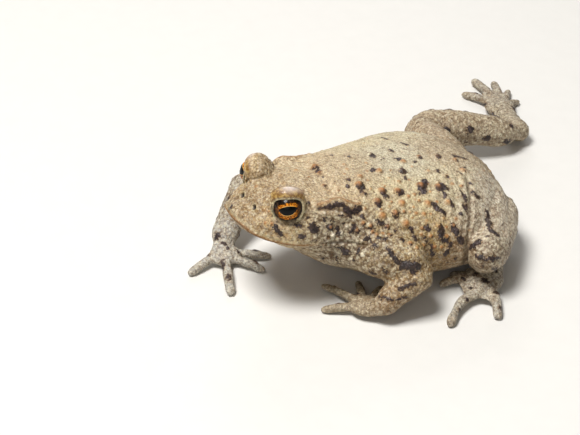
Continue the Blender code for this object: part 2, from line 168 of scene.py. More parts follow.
# Parotoid glands: a long poison gland, raised like a cushion, lies behind each eye.
# Side, back and height on the head, then half width, rise and depth.
PAROTOID = [
    (10, 15.8, 9.6, 1.4, 1, 1.2),
    (10.9, 18.4, 9.8, 3.2, 2.3, 2.6),
    (11.8, 22, 9.8, 3.9, 2.8, 3.2),
    (12.5, 26, 9.1, 4, 2.8, 3.2),
    (13.2, 29.6, 8, 3, 2.1, 2.4),
    (13.4, 31.4, 7.4, 1.2, 0.9, 1),
]
GLAND_GRID = (40, 40)
for side in (1, -1):
    gland = [(*sided(side, row[:3]), *row[3:]) for row in PAROTOID]
    forms.append(rings(gland, *GLAND_GRID))

# Trunk: a wide, soft body that sags on the floor. Back, centre height, half width, height
# above and depth below the centre.
TRUNK = [
    (-20, 19.5, 6, 4, 4), (-16.5, 18, 16, 12.5, 9), (-10, 17.2, 20, 14.6, 11.5),
    (-2, 15.6, 22.6, 15.4, 13.9), (8, 14.2, 25.4, 15.4, 14.4), (17, 13.2, 27, 15.6, 13.9),
    (25, 12.5, 25.5, 14.9, 13), (32, 12, 20, 12.6, 11), (36.5, 11.8, 14, 9.5, 8),
    (39.3, 11.6, 6, 5, 5), (40, 11.6, 0.5, 0.5, 0.5),
]
TRUNK_POWER = 2.15
TRUNK_GRID = (160, 220)
forms.append(rings([(0.0, *row) for row in TRUNK], *TRUNK_GRID, TRUNK_POWER, TRUNK_POWER))

# Limbs: short, thick forelegs turned in at the hands, one hind leg folded on its flank and
# the other stretched back. Point on the centre line, half width, height above and below it.
LIMBS = [
    [(13, -11, 16, 5, 5, 5), (20, -7, 15.5, 6, 6.5, 6), (24.5, -2, 15, 5.5, 6, 6),
     (27.3, 1.5, 14.2, 4.6, 4.8, 4.8), (28.5, 3, 14, 2, 2, 2)],
    [(28.3, 3.6, 14.5, 2, 2, 2), (27.8, 2, 13, 4.8, 4.3, 4.3), (28, -2, 10.5, 4.8, 4.3, 4.3),
     (28, -6.5, 7.2, 3.8, 3.4, 3.4), (27.6, -10, 4.2, 3.2, 2.6, 2.6),
     (26.6, -11.4, 3.2, 1.5, 1.2, 1.2)],
    [(-13, -11, 16, 5, 5, 5), (-20, -11.5, 15.5, 5.6, 6, 6), (-25, -13.5, 14.5, 5.2, 5.5, 5.5),
     (-29.5, -16.5, 13.5, 4.5, 4.5, 4.5), (-31, -17.8, 13.5, 2, 2, 2)],
    [(-30.5, -16.5, 14, 2, 2, 2), (-29.8, -18, 13, 4.4, 4.2, 4.2),
     (-26.5, -23.5, 10.5, 4.4, 4.2, 4.2), (-22.5, -29, 7.2, 3.8, 3.4, 3.4),
     (-19.2, -33, 4.2, 3.2, 2.5, 2.5), (-18.2, -34.2, 3.2, 1.5, 1.2, 1.2)],
    [(5, 37, 13.5, 4.5, 5, 5), (13, 33, 13.5, 5.6, 6.6, 7), (20, 28.5, 13.2, 5.6, 6.6, 6.8),
     (26.5, 23.5, 12.6, 5, 5.6, 6.2), (31, 20, 12.2, 4.4, 4.8, 5.4), (33.2, 18.3, 12, 2, 2, 2)],
    [(33.2, 19.9, 12, 2, 2, 2), (30.6, 21.9, 12, 4, 4.4, 4.8), (25.4, 27.6, 12, 4.4, 4.6, 5),
     (19.2, 33.6, 12, 4.2, 4.4, 4.6), (12.8, 38.7, 11.8, 3.2, 3.2, 3.4),
     (10.2, 40.6, 11.6, 1.5, 1.5, 1.5)],
    [(-5, 35, 13.5, 6, 6.5, 6.5), (-12, 36, 13.5, 6.3, 7, 7.5), (-20, 37.5, 12.8, 6, 6.6, 7),
     (-30, 39.2, 11.6, 5, 5.4, 5.6), (-35, 40, 11, 4.2, 4.4, 4.6), (-37.5, 40.2, 10.8, 2, 2, 2)],
    [(-37.5, 38.5, 10.8, 2, 2, 2), (-36, 41, 10.8, 4.4, 4.6, 4.8), (-33.8, 48, 10, 5.4, 5.6, 5.4),
     (-30.4, 58.5, 8.4, 4.8, 4.8, 4.8), (-27, 68.5, 6.2, 3.4, 3.4, 3.6),
     (-26, 71.8, 5.7, 1.5, 1.5, 1.5)],
]
LIMB_GRID = (50, 60)
forms.extend(rings(limb, *LIMB_GRID) for limb in LIMBS)

# Hands and feet: each palm or long ankle spreads into its fingers or toes, four in front and
# five behind. A digit has its root's and tip's radius and then its points.
HAND_LEFT = (
    [(28, -9.4, 4.2, 2, 1.8, 1.8), (26.2, -10.6, 3.2, 3.2, 2, 2), (23.4, -11.6, 2.5, 4.3, 1.9, 1.9),
     (20.4, -12.4, 2.1, 3.4, 1.5, 1.5), (19.2, -12.6, 1.9, 1.8, 1, 1)],
    [(1.5, 0.95, [(22.6, -13, 2.2), (20, -17.4, 1.9), (17.6, -21.4, 1)]),
     (1.6, 1, [(20.6, -12.6, 2.2), (14, -14.4, 2), (8, -16.4, 1)]),
     (1.5, 0.95, [(20.8, -11.2, 2.2), (15.6, -9, 1.9), (11.6, -7.4, 1)]),
     (1.5, 0.95, [(22.8, -10.6, 2.2), (19.4, -6.4, 1.9), (16.8, -3.2, 1)])],
)
HAND_RIGHT = (
    [(-19.8, -32.2, 4.2, 2, 1.8, 1.8), (-18.4, -33.2, 3.2, 3.2, 2, 2),
     (-16, -34, 2.5, 4.4, 1.9, 1.9), (-13.4, -34.6, 2.1, 3.6, 1.5, 1.5),
     (-12.2, -34.8, 1.9, 1.8, 1, 1)],
    [(1.5, 0.95, [(-17, -35, 2.2), (-15.6, -40, 1.9), (-14.2, -45.2, 1)]),
     (1.6, 1, [(-13.6, -34.8, 2.2), (-7, -37.4, 2), (-0.9, -39.6, 1)]),
     (1.5, 0.95, [(-13.8, -33.2, 2.2), (-9.6, -29.8, 1.9), (-6, -27.2, 1)]),
     (1.5, 0.95, [(-16, -32, 2.2), (-13, -27, 1.9), (-10.9, -22.6, 1)])],
)
FOOT_LEFT = (
    [(9.6, 41.6, 11, 1.5, 1.5, 1.5), (11.5, 40.6, 9.3, 2.8, 2.8, 2.8),
     (19, 33.4, 5.4, 2.8, 2.6, 2.6), (24.6, 26.5, 3.3, 3.8, 2.4, 2.4),
     (29.2, 21.4, 2.4, 5, 2.1, 2.1), (31.6, 18.6, 1.9, 3.4, 1.3, 1.3)],
    [(1.3, 0.9, [(26.4, 23.4, 2), (23.4, 22.4, 1.8), (21.2, 21.6, 0.95)]),
     (1.4, 0.9, [(27.2, 21.8, 2), (23.4, 19.4, 1.8), (20.4, 17.2, 0.95)]),
     (1.5, 1, [(28.2, 20.4, 2.2), (25.2, 18.6, 2.2), (23.9, 15.6, 2), (22.9, 12.4, 1)]),
     (1.7, 1, [(30.4, 19.4, 2.3), (32.7, 16.6, 2.5), (33.2, 12.8, 2.5), (35.6, 8.6, 2), (38.9, 4.6, 1)]),
     (1.7, 1.1, [(31, 20.6, 2.3), (34.6, 20.8, 2.2), (38, 19.6, 2), (42, 17.5, 1.1)])],
)
FOOT_RIGHT = (
    [(-25.4, 72.4, 5.5, 1.5, 1.5, 1.5), (-27, 73, 4.8, 2.8, 2.8, 2.8),
     (-34.5, 75.2, 3.5, 2.8, 2.6, 2.6), (-42, 77.4, 2.8, 3.4, 2.2, 2.2),
     (-48, 79.2, 2.3, 4.6, 1.9, 1.9), (-51, 80.2, 1.9, 2.8, 1.2, 1.2)],
    [(1.3, 0.9, [(-46, 80.8, 2), (-47.6, 84, 1.8), (-48.4, 87, 0.95)]),
     (1.4, 0.9, [(-48, 81.2, 2), (-52, 85, 1.8), (-55.2, 88, 0.95)]),
     (1.5, 0.95, [(-49.6, 80.8, 2.1), (-56, 84.4, 1.9), (-61.8, 87, 1)]),
     (1.6, 1, [(-50, 79.8, 2.2), (-58, 81.2, 2), (-66.2, 82.2, 1)]),
     (1.5, 1, [(-49, 78.2, 2.1), (-55, 76.6, 1.9), (-60.4, 74.6, 1)])],
)
PALM_GRID = (50, 48)
DIGIT_GRID = (40, 24)
WEB_GRID = (24, 40)
KNUCKLE_SWELL = 0.09
# Shares of a digit's tip radius: how far the flesh goes past the last point, and its radius
# there; and the share of its half width that a digit is high.
TIP_REACH = 0.8
TIP_TAPER = 0.6
DIGIT_HEIGHT = 0.9
WEB_THICKNESS = 0.42
WEB_REACH = 0.6
WEB_ROOT = 0.02
LINE_STEPS = 60


def unit(vector):
    """Vector of length one."""
    vector = np.array(vector, float)
    return vector / np.linalg.norm(vector)


def digit_line(points, tip):
    """Centre line of a finger or toe, with its last point carried on by most of the tip."""
    points = np.array(points)
    return np.vstack([points, points[-1] + unit(points[-1] - points[-2]) * tip * TIP_REACH])


def digit(root, tip, points):
    """Tapered tube along the digit's line: the radius goes evenly from root to tip and swells
    with a cosine at the middle knuckle and the tip."""
    count = DIGIT_GRID[0]
    radii = np.append(np.linspace(root, tip, len(points)), tip * TIP_TAPER)
    rows = carried(np.column_stack([digit_line(points, tip), radii]), count)
    radii = rows[:, 3] * (1 + KNUCKLE_SWELL * np.cos(np.linspace(0.0, 4 * math.pi, count)))
    high = radii * DIGIT_HEIGHT
    return rings(np.column_stack([rows[:, :3], radii, high, high]), *DIGIT_GRID)


def web(first, second):
    """Skin between two toes: an oval section spans their lines, and its middle stops short by
    the square of the cosine, which hollows the free edge."""
    count, sides = WEB_GRID
    turn = np.linspace(0.0, 2 * math.pi, sides, endpoint=False)
    reach = np.linspace(WEB_ROOT, WEB_REACH, count)[:, None] * (0.5 + 0.5 * np.cos(turn) ** 2)
    steps = np.linspace(0, 1, LINE_STEPS)
    edges = []
    for _, tip, points in (first, second):
        line = carried(digit_line(points, tip), LINE_STEPS)
        edges.append(np.stack([np.interp(reach, steps, c) for c in line.T], -1))
    share = (1 + np.cos(turn)[None, :, None]) / 2
    rise = WEB_THICKNESS * np.sin(turn)[None, :, None] * np.array([0.0, 0.0, 1.0])
    return share * edges[0] + (1 - share) * edges[1] + rise


for palm, digits in (HAND_LEFT, HAND_RIGHT, FOOT_LEFT, FOOT_RIGHT):
    forms.append(rings(palm, *PALM_GRID))
    forms.extend(digit(*sizes) for sizes in digits)
for _, toes in (FOOT_LEFT, FOOT_RIGHT):
    forms.extend(web(first, second) for first, second in zip(toes, toes[1:]))

# Flesh: head, trunk and limbs grow together under one skin. The forms are fused on a fine
# grid, and the skin is then drawn smooth, most of all where a limb or the neck joins.
SKIN_GRID = 0.3
JOINS = [
    ((20, -8, 16), 7), ((-20, -11.5, 16), 7), ((-12, 37, 13), 7), ((-36, 40.5, 11), 5),
    ((-26.4, 72.4, 5.4), 4), ((11, 40.5, 10.5), 4), ((27.6, -9.6, 4.4), 3.5), ((-19.6, -32.6, 4.2), 3.5),
    ((-16, -15, 19), 5), ((16, -15, 19), 5), ((-10, -16, 31), 5), ((0, -16, 32), 6), ((10, -16, 31), 5),
    ((0, -15, 8), 8), ((-9, -14, 9), 7), ((9, -14, 9), 7),
]
JOIN_ROUNDS = 120
SKIN_ROUNDS = 8
SKIN_PULL = 0.5
# Where the skin is finer: round the eyes, at the nostrils and along the closed mouth.
EYE_REACH = 6.4
NOSTRIL_PLACE = (3.3, 2.5, 5.85)
NOSTRIL_REACH = 2.0
MOUTH_LENGTH = 19.6
LIP_REACH = 1.1
LIP_GRID = (160, 16)


def placed(name, data):
    """New object in the scene."""
    made = bpy.data.objects.new(name, data)
    bpy.context.scene.collection.objects.link(made)
    return made


def grid_mesh(name, grids):
    """Mesh of closed bodies: each grid's rows are joined by quads and its two ends capped."""
    points, faces, start = [], [], 0
    for grid in grids:
        count, sides, _ = grid.shape
        index = start + np.arange(count * sides).reshape(count, sides)
        after = np.roll(index, -1, axis=1)
        quads = np.stack([index[:-1], after[:-1], after[1:], index[1:]], axis=-1)
        faces.extend(quads.reshape(-1, 4).tolist())
        faces.extend([index[0][::-1].tolist(), index[-1].tolist()])
        points.append(grid.reshape(-1, 3))
        start += count * sides
    mesh = bpy.data.meshes.new(name)
    mesh.from_pydata(np.concatenate(points).tolist(), [], faces)
    return placed(name, mesh)


def settle(piece):
    """Apply a piece's modifiers to its mesh."""
    graph = bpy.context.evaluated_depsgraph_get()
    mesh = bpy.data.meshes.new_from_object(piece.evaluated_get(graph))
    piece.modifiers.clear()
    piece.data = mesh


def read(values, name, width, kind=float):
    """Array of one property of all a mesh's items."""
    flat = np.empty(len(values) * width, kind)
    values.foreach_get(name, flat)
    return flat.reshape(-1, width)


def eased(points, links, weight, rounds):
    """Points drawn round after round towards the mean of their linked points, by a weight."""
    first, second = links.T
    size = len(points)
    count = np.bincount(links.ravel(), minlength=size)
    for _ in range(rounds):
        mean = [
            (np.bincount(first, c[second], size) + np.bincount(second, c[first], size)) / count
            for c in points.T
        ]
        points = points + weight[:, None] * (np.stack(mean, axis=1) - points)
    return points


def apart(points, place):
    """Distance of each point from a place."""
    return np.linalg.norm(points - place, axis=1)


def bell(away, width, power=2):
    """One at nought, and falling as the exponential of less the ratio to a power."""
    return np.exp(-((away / width) ** power))


skin = grid_mesh("skin", forms)
fuse = skin.modifiers.new("fuse", "REMESH")
fuse.mode = "VOXEL"
fuse.voxel_size = SKIN_GRID
settle(skin)
points = read(skin.data.vertices, "co", 3)
links = read(skin.data.edges, "vertices", 2, int)
looseness = np.zeros(len(points))
for place, reach in JOINS:
    looseness = np.maximum(looseness, bell(apart(points, place), reach))
points = eased(points, links, looseness, JOIN_ROUNDS)
points = eased(points, links, np.full(len(points), SKIN_PULL), SKIN_ROUNDS)


def reshape(piece, points):
    """Give a piece's mesh new points and return their outward directions."""
    piece.data.vertices.foreach_set("co", points.reshape(-1))
    piece.data.update()
    bpy.context.view_layer.update()
    return read(piece.data.vertices, "normal", 3)


outward = reshape(skin, points)


def from_line(points, line):
    """Offset of each point from the nearest place on a line, segment by segment."""
    best = np.full(len(points), np.inf)
    offset = np.zeros_like(points)
    for start, end in zip(line, line[1:]):
        step = end - start
        share = np.clip((points - start) @ step / max(step @ step, 1e-12), 0.0, 1.0)
        gap = points - start - share[:, None] * step
        reach = np.einsum("ij,ij->i", gap, gap)
        closer = reach < best
        best = np.where(closer, reach, best)
        offset[closer] = gap[closer]
    return offset


def near(points, line, reach):
    """Numbers of the points within a box that holds the line and its reach."""
    inside = (points > line.min(axis=0) - reach) & (points < line.max(axis=0) + reach)
    return np.nonzero(inside.all(axis=1))[0]


def beside(line, reach):
    """Numbers of the skin's points near a line, and their distances from it."""
    some = near(points, line, reach)
    return some, np.linalg.norm(from_line(points[some], line), axis=1)


def finer(piece, chosen):
    """Split each edge between two chosen points in half, and the faces with it."""
    body = bmesh.new()
    body.from_mesh(piece.data)
    edges = [e for e in body.edges if chosen[e.verts[0].index] and chosen[e.verts[1].index]]
    bmesh.ops.subdivide_edges(body, edges=edges, cuts=1, use_grid_fill=True)
    body.to_mesh(piece.data)
    body.free()
    return read(piece.data.vertices, "co", 3)


lips = head_rings(*LIP_GRID)
reach = (lips[:, 0] - SNOUT) @ BACKWARD < MOUTH_LENGTH
lip_line = np.concatenate([lips[reach, LIP_GRID[1] // 2][:0:-1], lips[reach, 0][1:]])
chosen = np.zeros(len(points), bool)
some, away = beside(lip_line, LIP_REACH)
chosen[some] = away < LIP_REACH
for side in (1, -1):
    for place, reach in ((EYE_PLACE, EYE_REACH), (NOSTRIL_PLACE, NOSTRIL_REACH)):
        chosen |= apart(points, sided(side, place)) < reach
points = finer(skin, chosen)
outward = reshape(skin, points)

# Camera: it stands about 43 cm from the snout, to the toad's left and above it, as for the
# photograph. Marks read off the photograph are sent along its sight lines to the skin.
PHOTO_WIDTH = 580
PHOTO_HEIGHT = 435
FOCAL_PIXELS = 1659.8
SENSOR_WIDTH = 36.0
CAMERA_AZIMUTH = math.radians(61.5)
CAMERA_ELEVATION = math.radians(34)
SNOUT_PIXEL = (229, 211)
SNOUT_MARK = np.array([0.0, -40.0, 28.0])
SNOUT_DISTANCE = 430.0
CLIP_START = 0.01

camera_back = np.array(
    [
        math.sin(CAMERA_AZIMUTH) * math.cos(CAMERA_ELEVATION),
        -math.cos(CAMERA_AZIMUTH) * math.cos(CAMERA_ELEVATION),
        math.sin(CAMERA_ELEVATION),
    ]
)
camera_right = np.array([math.cos(CAMERA_AZIMUTH), math.sin(CAMERA_AZIMUTH), 0.0])
camera_up = np.cross(camera_back, camera_right)


def sight(px, py):
    """Sight line through a pixel: one ahead, and the pixel's place over the focal length."""
    aside = (px - PHOTO_WIDTH / 2) / FOCAL_PIXELS
    down = (py - PHOTO_HEIGHT / 2) / FOCAL_PIXELS
    return aside * camera_right - down * camera_up - camera_back


camera_place = SNOUT_MARK - sight(*SNOUT_PIXEL) * SNOUT_DISTANCE


def pixel_size(place):
    """Width of a pixel at a place on the skin."""
    return np.linalg.norm(place - camera_place) / FOCAL_PIXELS


camera = placed("camera", bpy.data.cameras.new("camera"))
camera.data.sensor_width = SENSOR_WIDTH
camera.data.lens = FOCAL_PIXELS / PHOTO_WIDTH * SENSOR_WIDTH
camera.data.clip_start = CLIP_START
turned = Matrix(np.stack([camera_right, camera_up, camera_back], axis=1).tolist()).to_4x4()
camera.matrix_world = Matrix.Translation((camera_place + TO_ROW) * MILLIMETRE) @ turned
bpy.context.scene.camera = camera


def on_skin(px, py):
    """Where the sight line through a pixel meets the skin, or None where it passes by."""
    hit, place, _, _ = skin.ray_cast(Vector(camera_place), Vector(unit(sight(px, py))))
    return np.array(place) if hit else None


def traced(*pixels):
    """Stroke on the skin through a row of pixels, with steps of about two pixels."""
    pixels = np.array(pixels, float).reshape(-1, 2)
    pixels = np.vstack([pixels, pixels[-1] + 0.01])
    steps = np.concatenate([[0.0], np.cumsum(np.linalg.norm(np.diff(pixels, axis=0), axis=1))])
    at = np.linspace(0.0, steps[-1], 2 + int(steps[-1] / 2))
    found = [on_skin(*[np.interp(d, steps, c) for c in pixels.T]) for d in at]
    return np.array([place for place in found if place is not None])


# Eyelids: the upper lid is a thick glossy pad under the brow, and the lower lid is a thin
# pale ring with a groove round it. In directions inside the opening, which is flatter above,
# the skin sinks under the eyeball, and outside it keeps the lid's own distance from its centre.
# Painted shade darkens the groove, the pad's creases, the margin that sinks under the eyeball
# and a line under the lower lid, and a painted highlight lies on the pad's wet top.
EYE_RADIUS = 4.1
# Half width, height above and depth below the gaze, and how square each half is.
EYE_OPENING = (3.5, 2.7, 3.4)
OPENING_POWER = (2.7, 2.1)
# The right eye looks a little further ahead and lower than the left one.
GAZE = {1: (0.884, -0.44, 0.16), -1: (0.79, -0.6, 0.04)}
LID_EDGE = 0.4
# Distance from the lid's edge, then the skin's distance from the eye's centre there.
UPPER_LID = [(-0.12, 3.6), (0.0, 4.25), (0.12, 4.5), (0.22, 4.54), (0.34, 4.5), (0.7, 4.97),
             (1.4, 5.34), (2.5, 5.48), (3.4, 5.3), (4.0, 4.92), (4.3, 4.94), (5.0, 5.1),
             (6.7, 5.1)]
LOWER_LID = [(-0.12, 3.6), (0.0, 4.2), (0.1, 4.4), (0.2, 4.56), (0.32, 4.72), (0.48, 4.74),
             (0.62, 4.5), (0.74, 4.38), (0.95, 4.5), (1.3, 4.66), (1.6, 4.56), (2.0, 4.6)]
# How much wider the wet margin inside the lower lid is below the eye, and how far out the lid
# hangs there.
LID_MARGIN = 0.28
LID_DROOP = 0.28
DROOP_START = (0.0, 0.5)
# How far from its edge each lid keeps its profile, and where the skin has its own place again.
UPPER_FADE = (4.4, 6.8)
LOWER_FADE = (1.3, 2.6)
# Skin farther than this from the eye's centre is cheek or crown, and no part of a lid.
LID_HOLD = (5.1, 5.9)
LID_BOX = 9.0
# How high round the eye the ring turns into the pad, where the pad's gold comes in and goes
# out, and how dark the painted shade of the line at its far side is: the left eye has more of
# both, its gold being partly a painted sheen for the light on its wet pad.
PAD_TURN = (0.14, 0.66)
GOLD_SPAN = {1: (0.3, 0.6, 3.6, 4.2), -1: (0.3, 0.6, 1.8, 3.0)}
FAR_SHADE = {1: 0.7, -1: 0.15}
# Middle and width of the marks that run along the lids: the painted highlight on the pad, a
# pale patch for the light on its wet top, also across it, and the line at its far side, the
# crease at its near side and the groove round the lower ring, which are painted shade.
PAD_HIGHLIGHT = (2.4, 1.0)
PAD_HIGHLIGHT_ACROSS = (-0.14, 0.5)
FAR_LINE = (4.05, 0.22)
CREASE = (0.34, 0.1)
CREASE_SHADE = 0.5
GROOVE = (0.74, 0.16)
GROOVE_SHADE = 0.9
# Where the pale ring below and the pale edge above come in and go out again.
RING_SPAN = (0.1, 0.2, 0.5, 0.62)
EDGE_SPAN = (0.02, 0.1, 0.16, 0.26)
# Where granules come in again on the skin below the eye, and how much farther out above it.
CLEAR_LID = ((1.2, 2.9), (1.8, 3.0))
# The line of painted shade under the lower lid, beside its groove, in pixels.
OUTLINE = [[(272.0, 206.6), (273.2, 211.6), (275.4, 216.4)],
           [(276.4, 221.8), (281.4, 223.9), (287.0, 225.0), (293.0, 224.7), (298.4, 222.6)]]
OUTLINE_REACH = 1.0
OUTLINE_WIDTH = 0.24
OUTLINE_SHADE = 0.8


def eye_axes(side):
    """Gaze of an eye and the directions across and over it."""
    ahead = GAZE[side]
    gaze = unit([side * ahead[0], *ahead[1:]])
    across = unit(np.cross(gaze, [0.0, 0.0, 1.0]))
    return gaze, across, np.cross(across, gaze)


def eased_step(value, low, high):
    """Nought to one between two values, level at both."""
    share = np.clip((value - low) / (high - low), 0.0, 1.0)
    return share * share * (3 - 2 * share)


def spanned(value, rise, whole, fall, end):
    """Nought, one between the two middle values, and nought again, with soft steps."""
    return eased_step(value, rise, whole) * (1 - eased_step(value, fall, end))


def lift(field, some, value):
    """Raise some of a field's values to others where those are more."""
    field[some] = np.maximum(field[some], value)


def lid_place(points, side):
    """Angle from the gaze less the opening's own angle in that direction, as an arc on the
    lid, with that angle, the distance from the eye's centre and the direction round it."""
    gaze, across, over = eye_axes(side)
    offset = points - sided(side, EYE_PLACE)
    far = np.linalg.norm(offset, axis=1)
    aside = np.stack([offset @ across, offset @ over], axis=1)
    spread = np.linalg.norm(aside, axis=1)
    aside = aside / np.maximum(spread, 1e-9)[:, None]
    angle = np.arctan2(spread, offset @ gaze)
    above = aside[:, 1] > 0
    power = np.where(above, *OPENING_POWER)
    tall = np.where(above, *EYE_OPENING[1:])
    edge = (abs(aside[:, 0]) / EYE_OPENING[0]) ** power + (abs(aside[:, 1]) / tall) ** power
    edge = np.arcsin(np.clip(edge ** (-1 / power) / EYE_RADIUS, 0.0, 1.0))
    return (angle - edge) * EYE_RADIUS, edge, far, aside


def stripe(value, middle, width, power=2):
    """Bell about a middle value."""
    return bell(value - middle, width, power)


pad_gold_and_sheen, lid_ring, lid_shade, lid_near, painted_pad_highlight = np.zeros((5, len(points)))
for side in (1, -1):
    centre = sided(side, EYE_PLACE)
    gaze, across, over = eye_axes(side)
    some = near(points, centre[None], LID_BOX)
    arc, edge, far, aside = lid_place(points[some], side)
    hanging = np.clip(-aside[:, 1], 0.0, 1.0) ** 2
    upper = eased_step(aside[:, 1], *PAD_TURN)
    lower = 1 - upper
    drawn = np.where(abs(arc) < LID_EDGE, arc * abs(arc) / LID_EDGE, arc)
    inside = drawn - LID_MARGIN * hanging
    angle = drawn / EYE_RADIUS + edge
    pad = np.interp(drawn, *np.array(UPPER_LID).T)
    ring = np.interp(inside, *np.array(LOWER_LID).T)
    ring += LID_DROOP * hanging * eased_step(drawn, *DROOP_START)
    lid = upper * pad + lower * ring
    kept = upper * eased_step(drawn, *UPPER_FADE) + lower * eased_step(drawn, *LOWER_FADE)
    lids = 1 - eased_step(far, *LID_HOLD)
    kept = 1 - (1 - kept) * lids
    distance = kept * far + (1 - kept) * lid
    circle = aside[:, :1] * across + aside[:, 1:] * over
    towards = np.cos(angle)[:, None] * gaze + np.sin(angle)[:, None] * circle
    points[some] = centre + distance[:, None] * towards
    golden = upper * spanned(drawn, *GOLD_SPAN[side])
    pad_gold_and_sheen[some] += golden
    # Painted highlight: a pale patch on the middle of the pad's wet top.
    painted_glint = stripe(drawn, *PAD_HIGHLIGHT) * stripe(side * aside[:, 0], *PAD_HIGHLIGHT_ACROSS)
    painted_pad_highlight[some] += golden * painted_glint
    pale = lower * spanned(inside, *RING_SPAN)
    lid_ring[some] += lids * np.maximum(pale, upper * spanned(drawn, *EDGE_SPAN))
    # Painted shade: the groove round the ring, the pad's crease and far line, the sunken margin.
    groove = stripe(inside, *GROOVE) * lower
    crease = stripe(drawn, *CREASE) + FAR_SHADE[side] * stripe(drawn, *FAR_LINE)
    rim = 1 - eased_step(inside, *EDGE_SPAN[:2])
    dark = GROOVE_SHADE * groove + CREASE_SHADE * crease * upper + rim
    lid_shade[some] += lids * np.clip(dark, 0.0, 1.0)
    clear = [start + farther * upper for start, farther in CLEAR_LID]
    lid_near[some] += lids * (1 - eased_step(drawn, *clear))
outward = reshape(skin, points)
for pixels in OUTLINE:
    some, away = beside(traced(*pixels), OUTLINE_REACH)
    lift(lid_shade, some, OUTLINE_SHADE * bell(away, OUTLINE_WIDTH))

# Mouth and nostrils: the closed lips meet in a fine groove along the head's widest line,
# with a slight roll above it, and each nostril is a small pit with a raised rim, darkened
# inside with painted shade.
LIP_BOX = 5.0
LIP_DEPTH = 0.5
LIP_WIDTH = 0.24
# Height over the groove and width of the roll, the brown lip and the pale line above it, how
# far from the groove each goes, and where the colours fade towards the mouth's corner.
LIP_ROLL = 0.2
ROLL_LINE = (0.5, 0.34)
ROLL_REACH = 2.0
BROWN_LINE = (0.25, 0.55)
BROWN_REACH = 1.5
PALE_LINE = (1.2, 0.32)
PALE_REACH = 2.2
LIP_PALE = 0.6
CORNER_FADE = (15.0, 19.0)
CLEAR_LIP = 0.8
# How far the jaw is drawn in, and how far below the groove that starts and ends.
JAW_TUCK = 0.8
TUCK_SPAN = (0.05, 0.6, 2.0, 4.5)
NOSTRIL_DEPTH = 0.5
NOSTRIL_RADIUS = 0.68
NOSTRIL_SHADE = 0.76
NOSTRIL_RIM = 0.2
RIM_PLACE = (0.95, 0.26)
NOSTRIL_PALE = 0.7
PALE_PLACE = (1.0, 0.2)
CLEAR_NOSTRIL = 1.3

height, painted_shade, lip, lip_pale, lip_near, nostril = np.zeros((6, len(points)))
some = near(points, lip_line, LIP_BOX)
offset = from_line(points[some], lip_line)
away = np.linalg.norm(offset, axis=1)
rise = offset @ UPWARD
kept = 1 - eased_step((points[some] - SNOUT) @ BACKWARD, *CORNER_FADE)
height[some] -= LIP_DEPTH * bell(away, LIP_WIDTH)
height[some] += LIP_ROLL * stripe(rise, *ROLL_LINE) * (away < ROLL_REACH)
height[some] -= JAW_TUCK * spanned(-rise, *TUCK_SPAN)
lip[some] = stripe(rise, *BROWN_LINE, 4) * (away < BROWN_REACH) * kept
lip_pale[some] = LIP_PALE * stripe(rise, *PALE_LINE) * (away < PALE_REACH) * kept
lip_near[some] = bell(away, CLEAR_LIP, 4)
for side in (1, -1):
    _, place, _, _ = skin.closest_point_on_mesh(Vector(sided(side, NOSTRIL_PLACE)))
    away = apart(points, np.array(place))
    height -= NOSTRIL_DEPTH * bell(away, NOSTRIL_RADIUS, 4)
    height += NOSTRIL_RIM * stripe(away, *RIM_PLACE)
    # Painted shade inside the nostril's pit.
    nostril += bell(away, NOSTRIL_SHADE, 6)
    lip_pale += NOSTRIL_PALE * stripe(away, *PALE_PLACE)
    lip_near += bell(away, CLEAR_NOSTRIL, 6)

# Folds: the loose skin creases behind the mouth, in front of the thigh, at the elbow and at
# the knee, and painted shade darkens each crease. Each is a row of pixels, with its depth and
# width.
FOLDS = [
    ([(321, 244), (334, 242), (350, 242), (366, 246)], 0.45, 0.45),
    ([(350, 258), (360, 247), (372, 240)], 0.2, 0.6),
    ([(366, 264), (376, 254), (388, 247)], 0.22, 0.6),
    ([(392, 268), (402, 262), (412, 262)], 0.2, 0.6),
    ([(448, 178), (455, 192), (457, 210), (453, 230)], 0.25, 0.8),
    ([(456, 178), (463, 192), (466, 212), (463, 236)], 0.3, 0.7),
    ([(440, 196), (447, 212), (447, 232), (442, 250)], 0.2, 0.8),
    ([(467, 178), (470, 196), (470, 220), (467, 246), (466, 262)], 0.5, 0.7),
    ([(478, 253), (485, 257), (494, 258), (502, 261)], 0.3, 0.5),
    ([(480, 262), (488, 266), (498, 267)], 0.2, 0.5),
    ([(248, 179.5), (246.5, 182), (244, 186), (241.5, 188.5)], 0.3, 0.3),
    ([(265, 175), (260, 178.5), (252, 180), (248, 179)], 0.16, 0.3),
    ([(305, 196), (307, 203), (305.5, 213), (301, 221)], 0.16, 0.25),
    ([(309, 197), (311, 204), (309.5, 214), (305, 223)], 0.14, 0.25),
    ([(257, 203.2), (263, 204.8), (270, 205.4)], 0.2, 0.35),
    ([(239.6, 208.6), (242.4, 210.2)], 0.2, 0.45),
    ([(248.6, 213.2), (252.6, 214)], 0.2, 0.4),
    ([(237.6, 214.2), (239, 214.6)], 0.14, 0.35),
    ([(295, 161.4), (299, 161.6)], 0.14, 0.4),
    ([(271.5, 206), (270.5, 213), (268.5, 216)], 0.2, 0.3),
    ([(267, 229.6), (268.6, 230.4)], 0.16, 0.35),
    ([(262, 221), (264, 226)], 0.14, 0.4),
]
FOLD_REACH = 4
FOLD_ROLL = 0.4
FOLD_SHADE = 1.6
for pixels, depth, width in FOLDS:
    some, away = beside(traced(*pixels), FOLD_REACH * width)
    height[some] -= depth * bell(away, width)
    height[some] += FOLD_ROLL * depth * stripe(away, 2 * width, width)
    lift(painted_shade, some, min(1.0, FOLD_SHADE * depth) * bell(away, width))
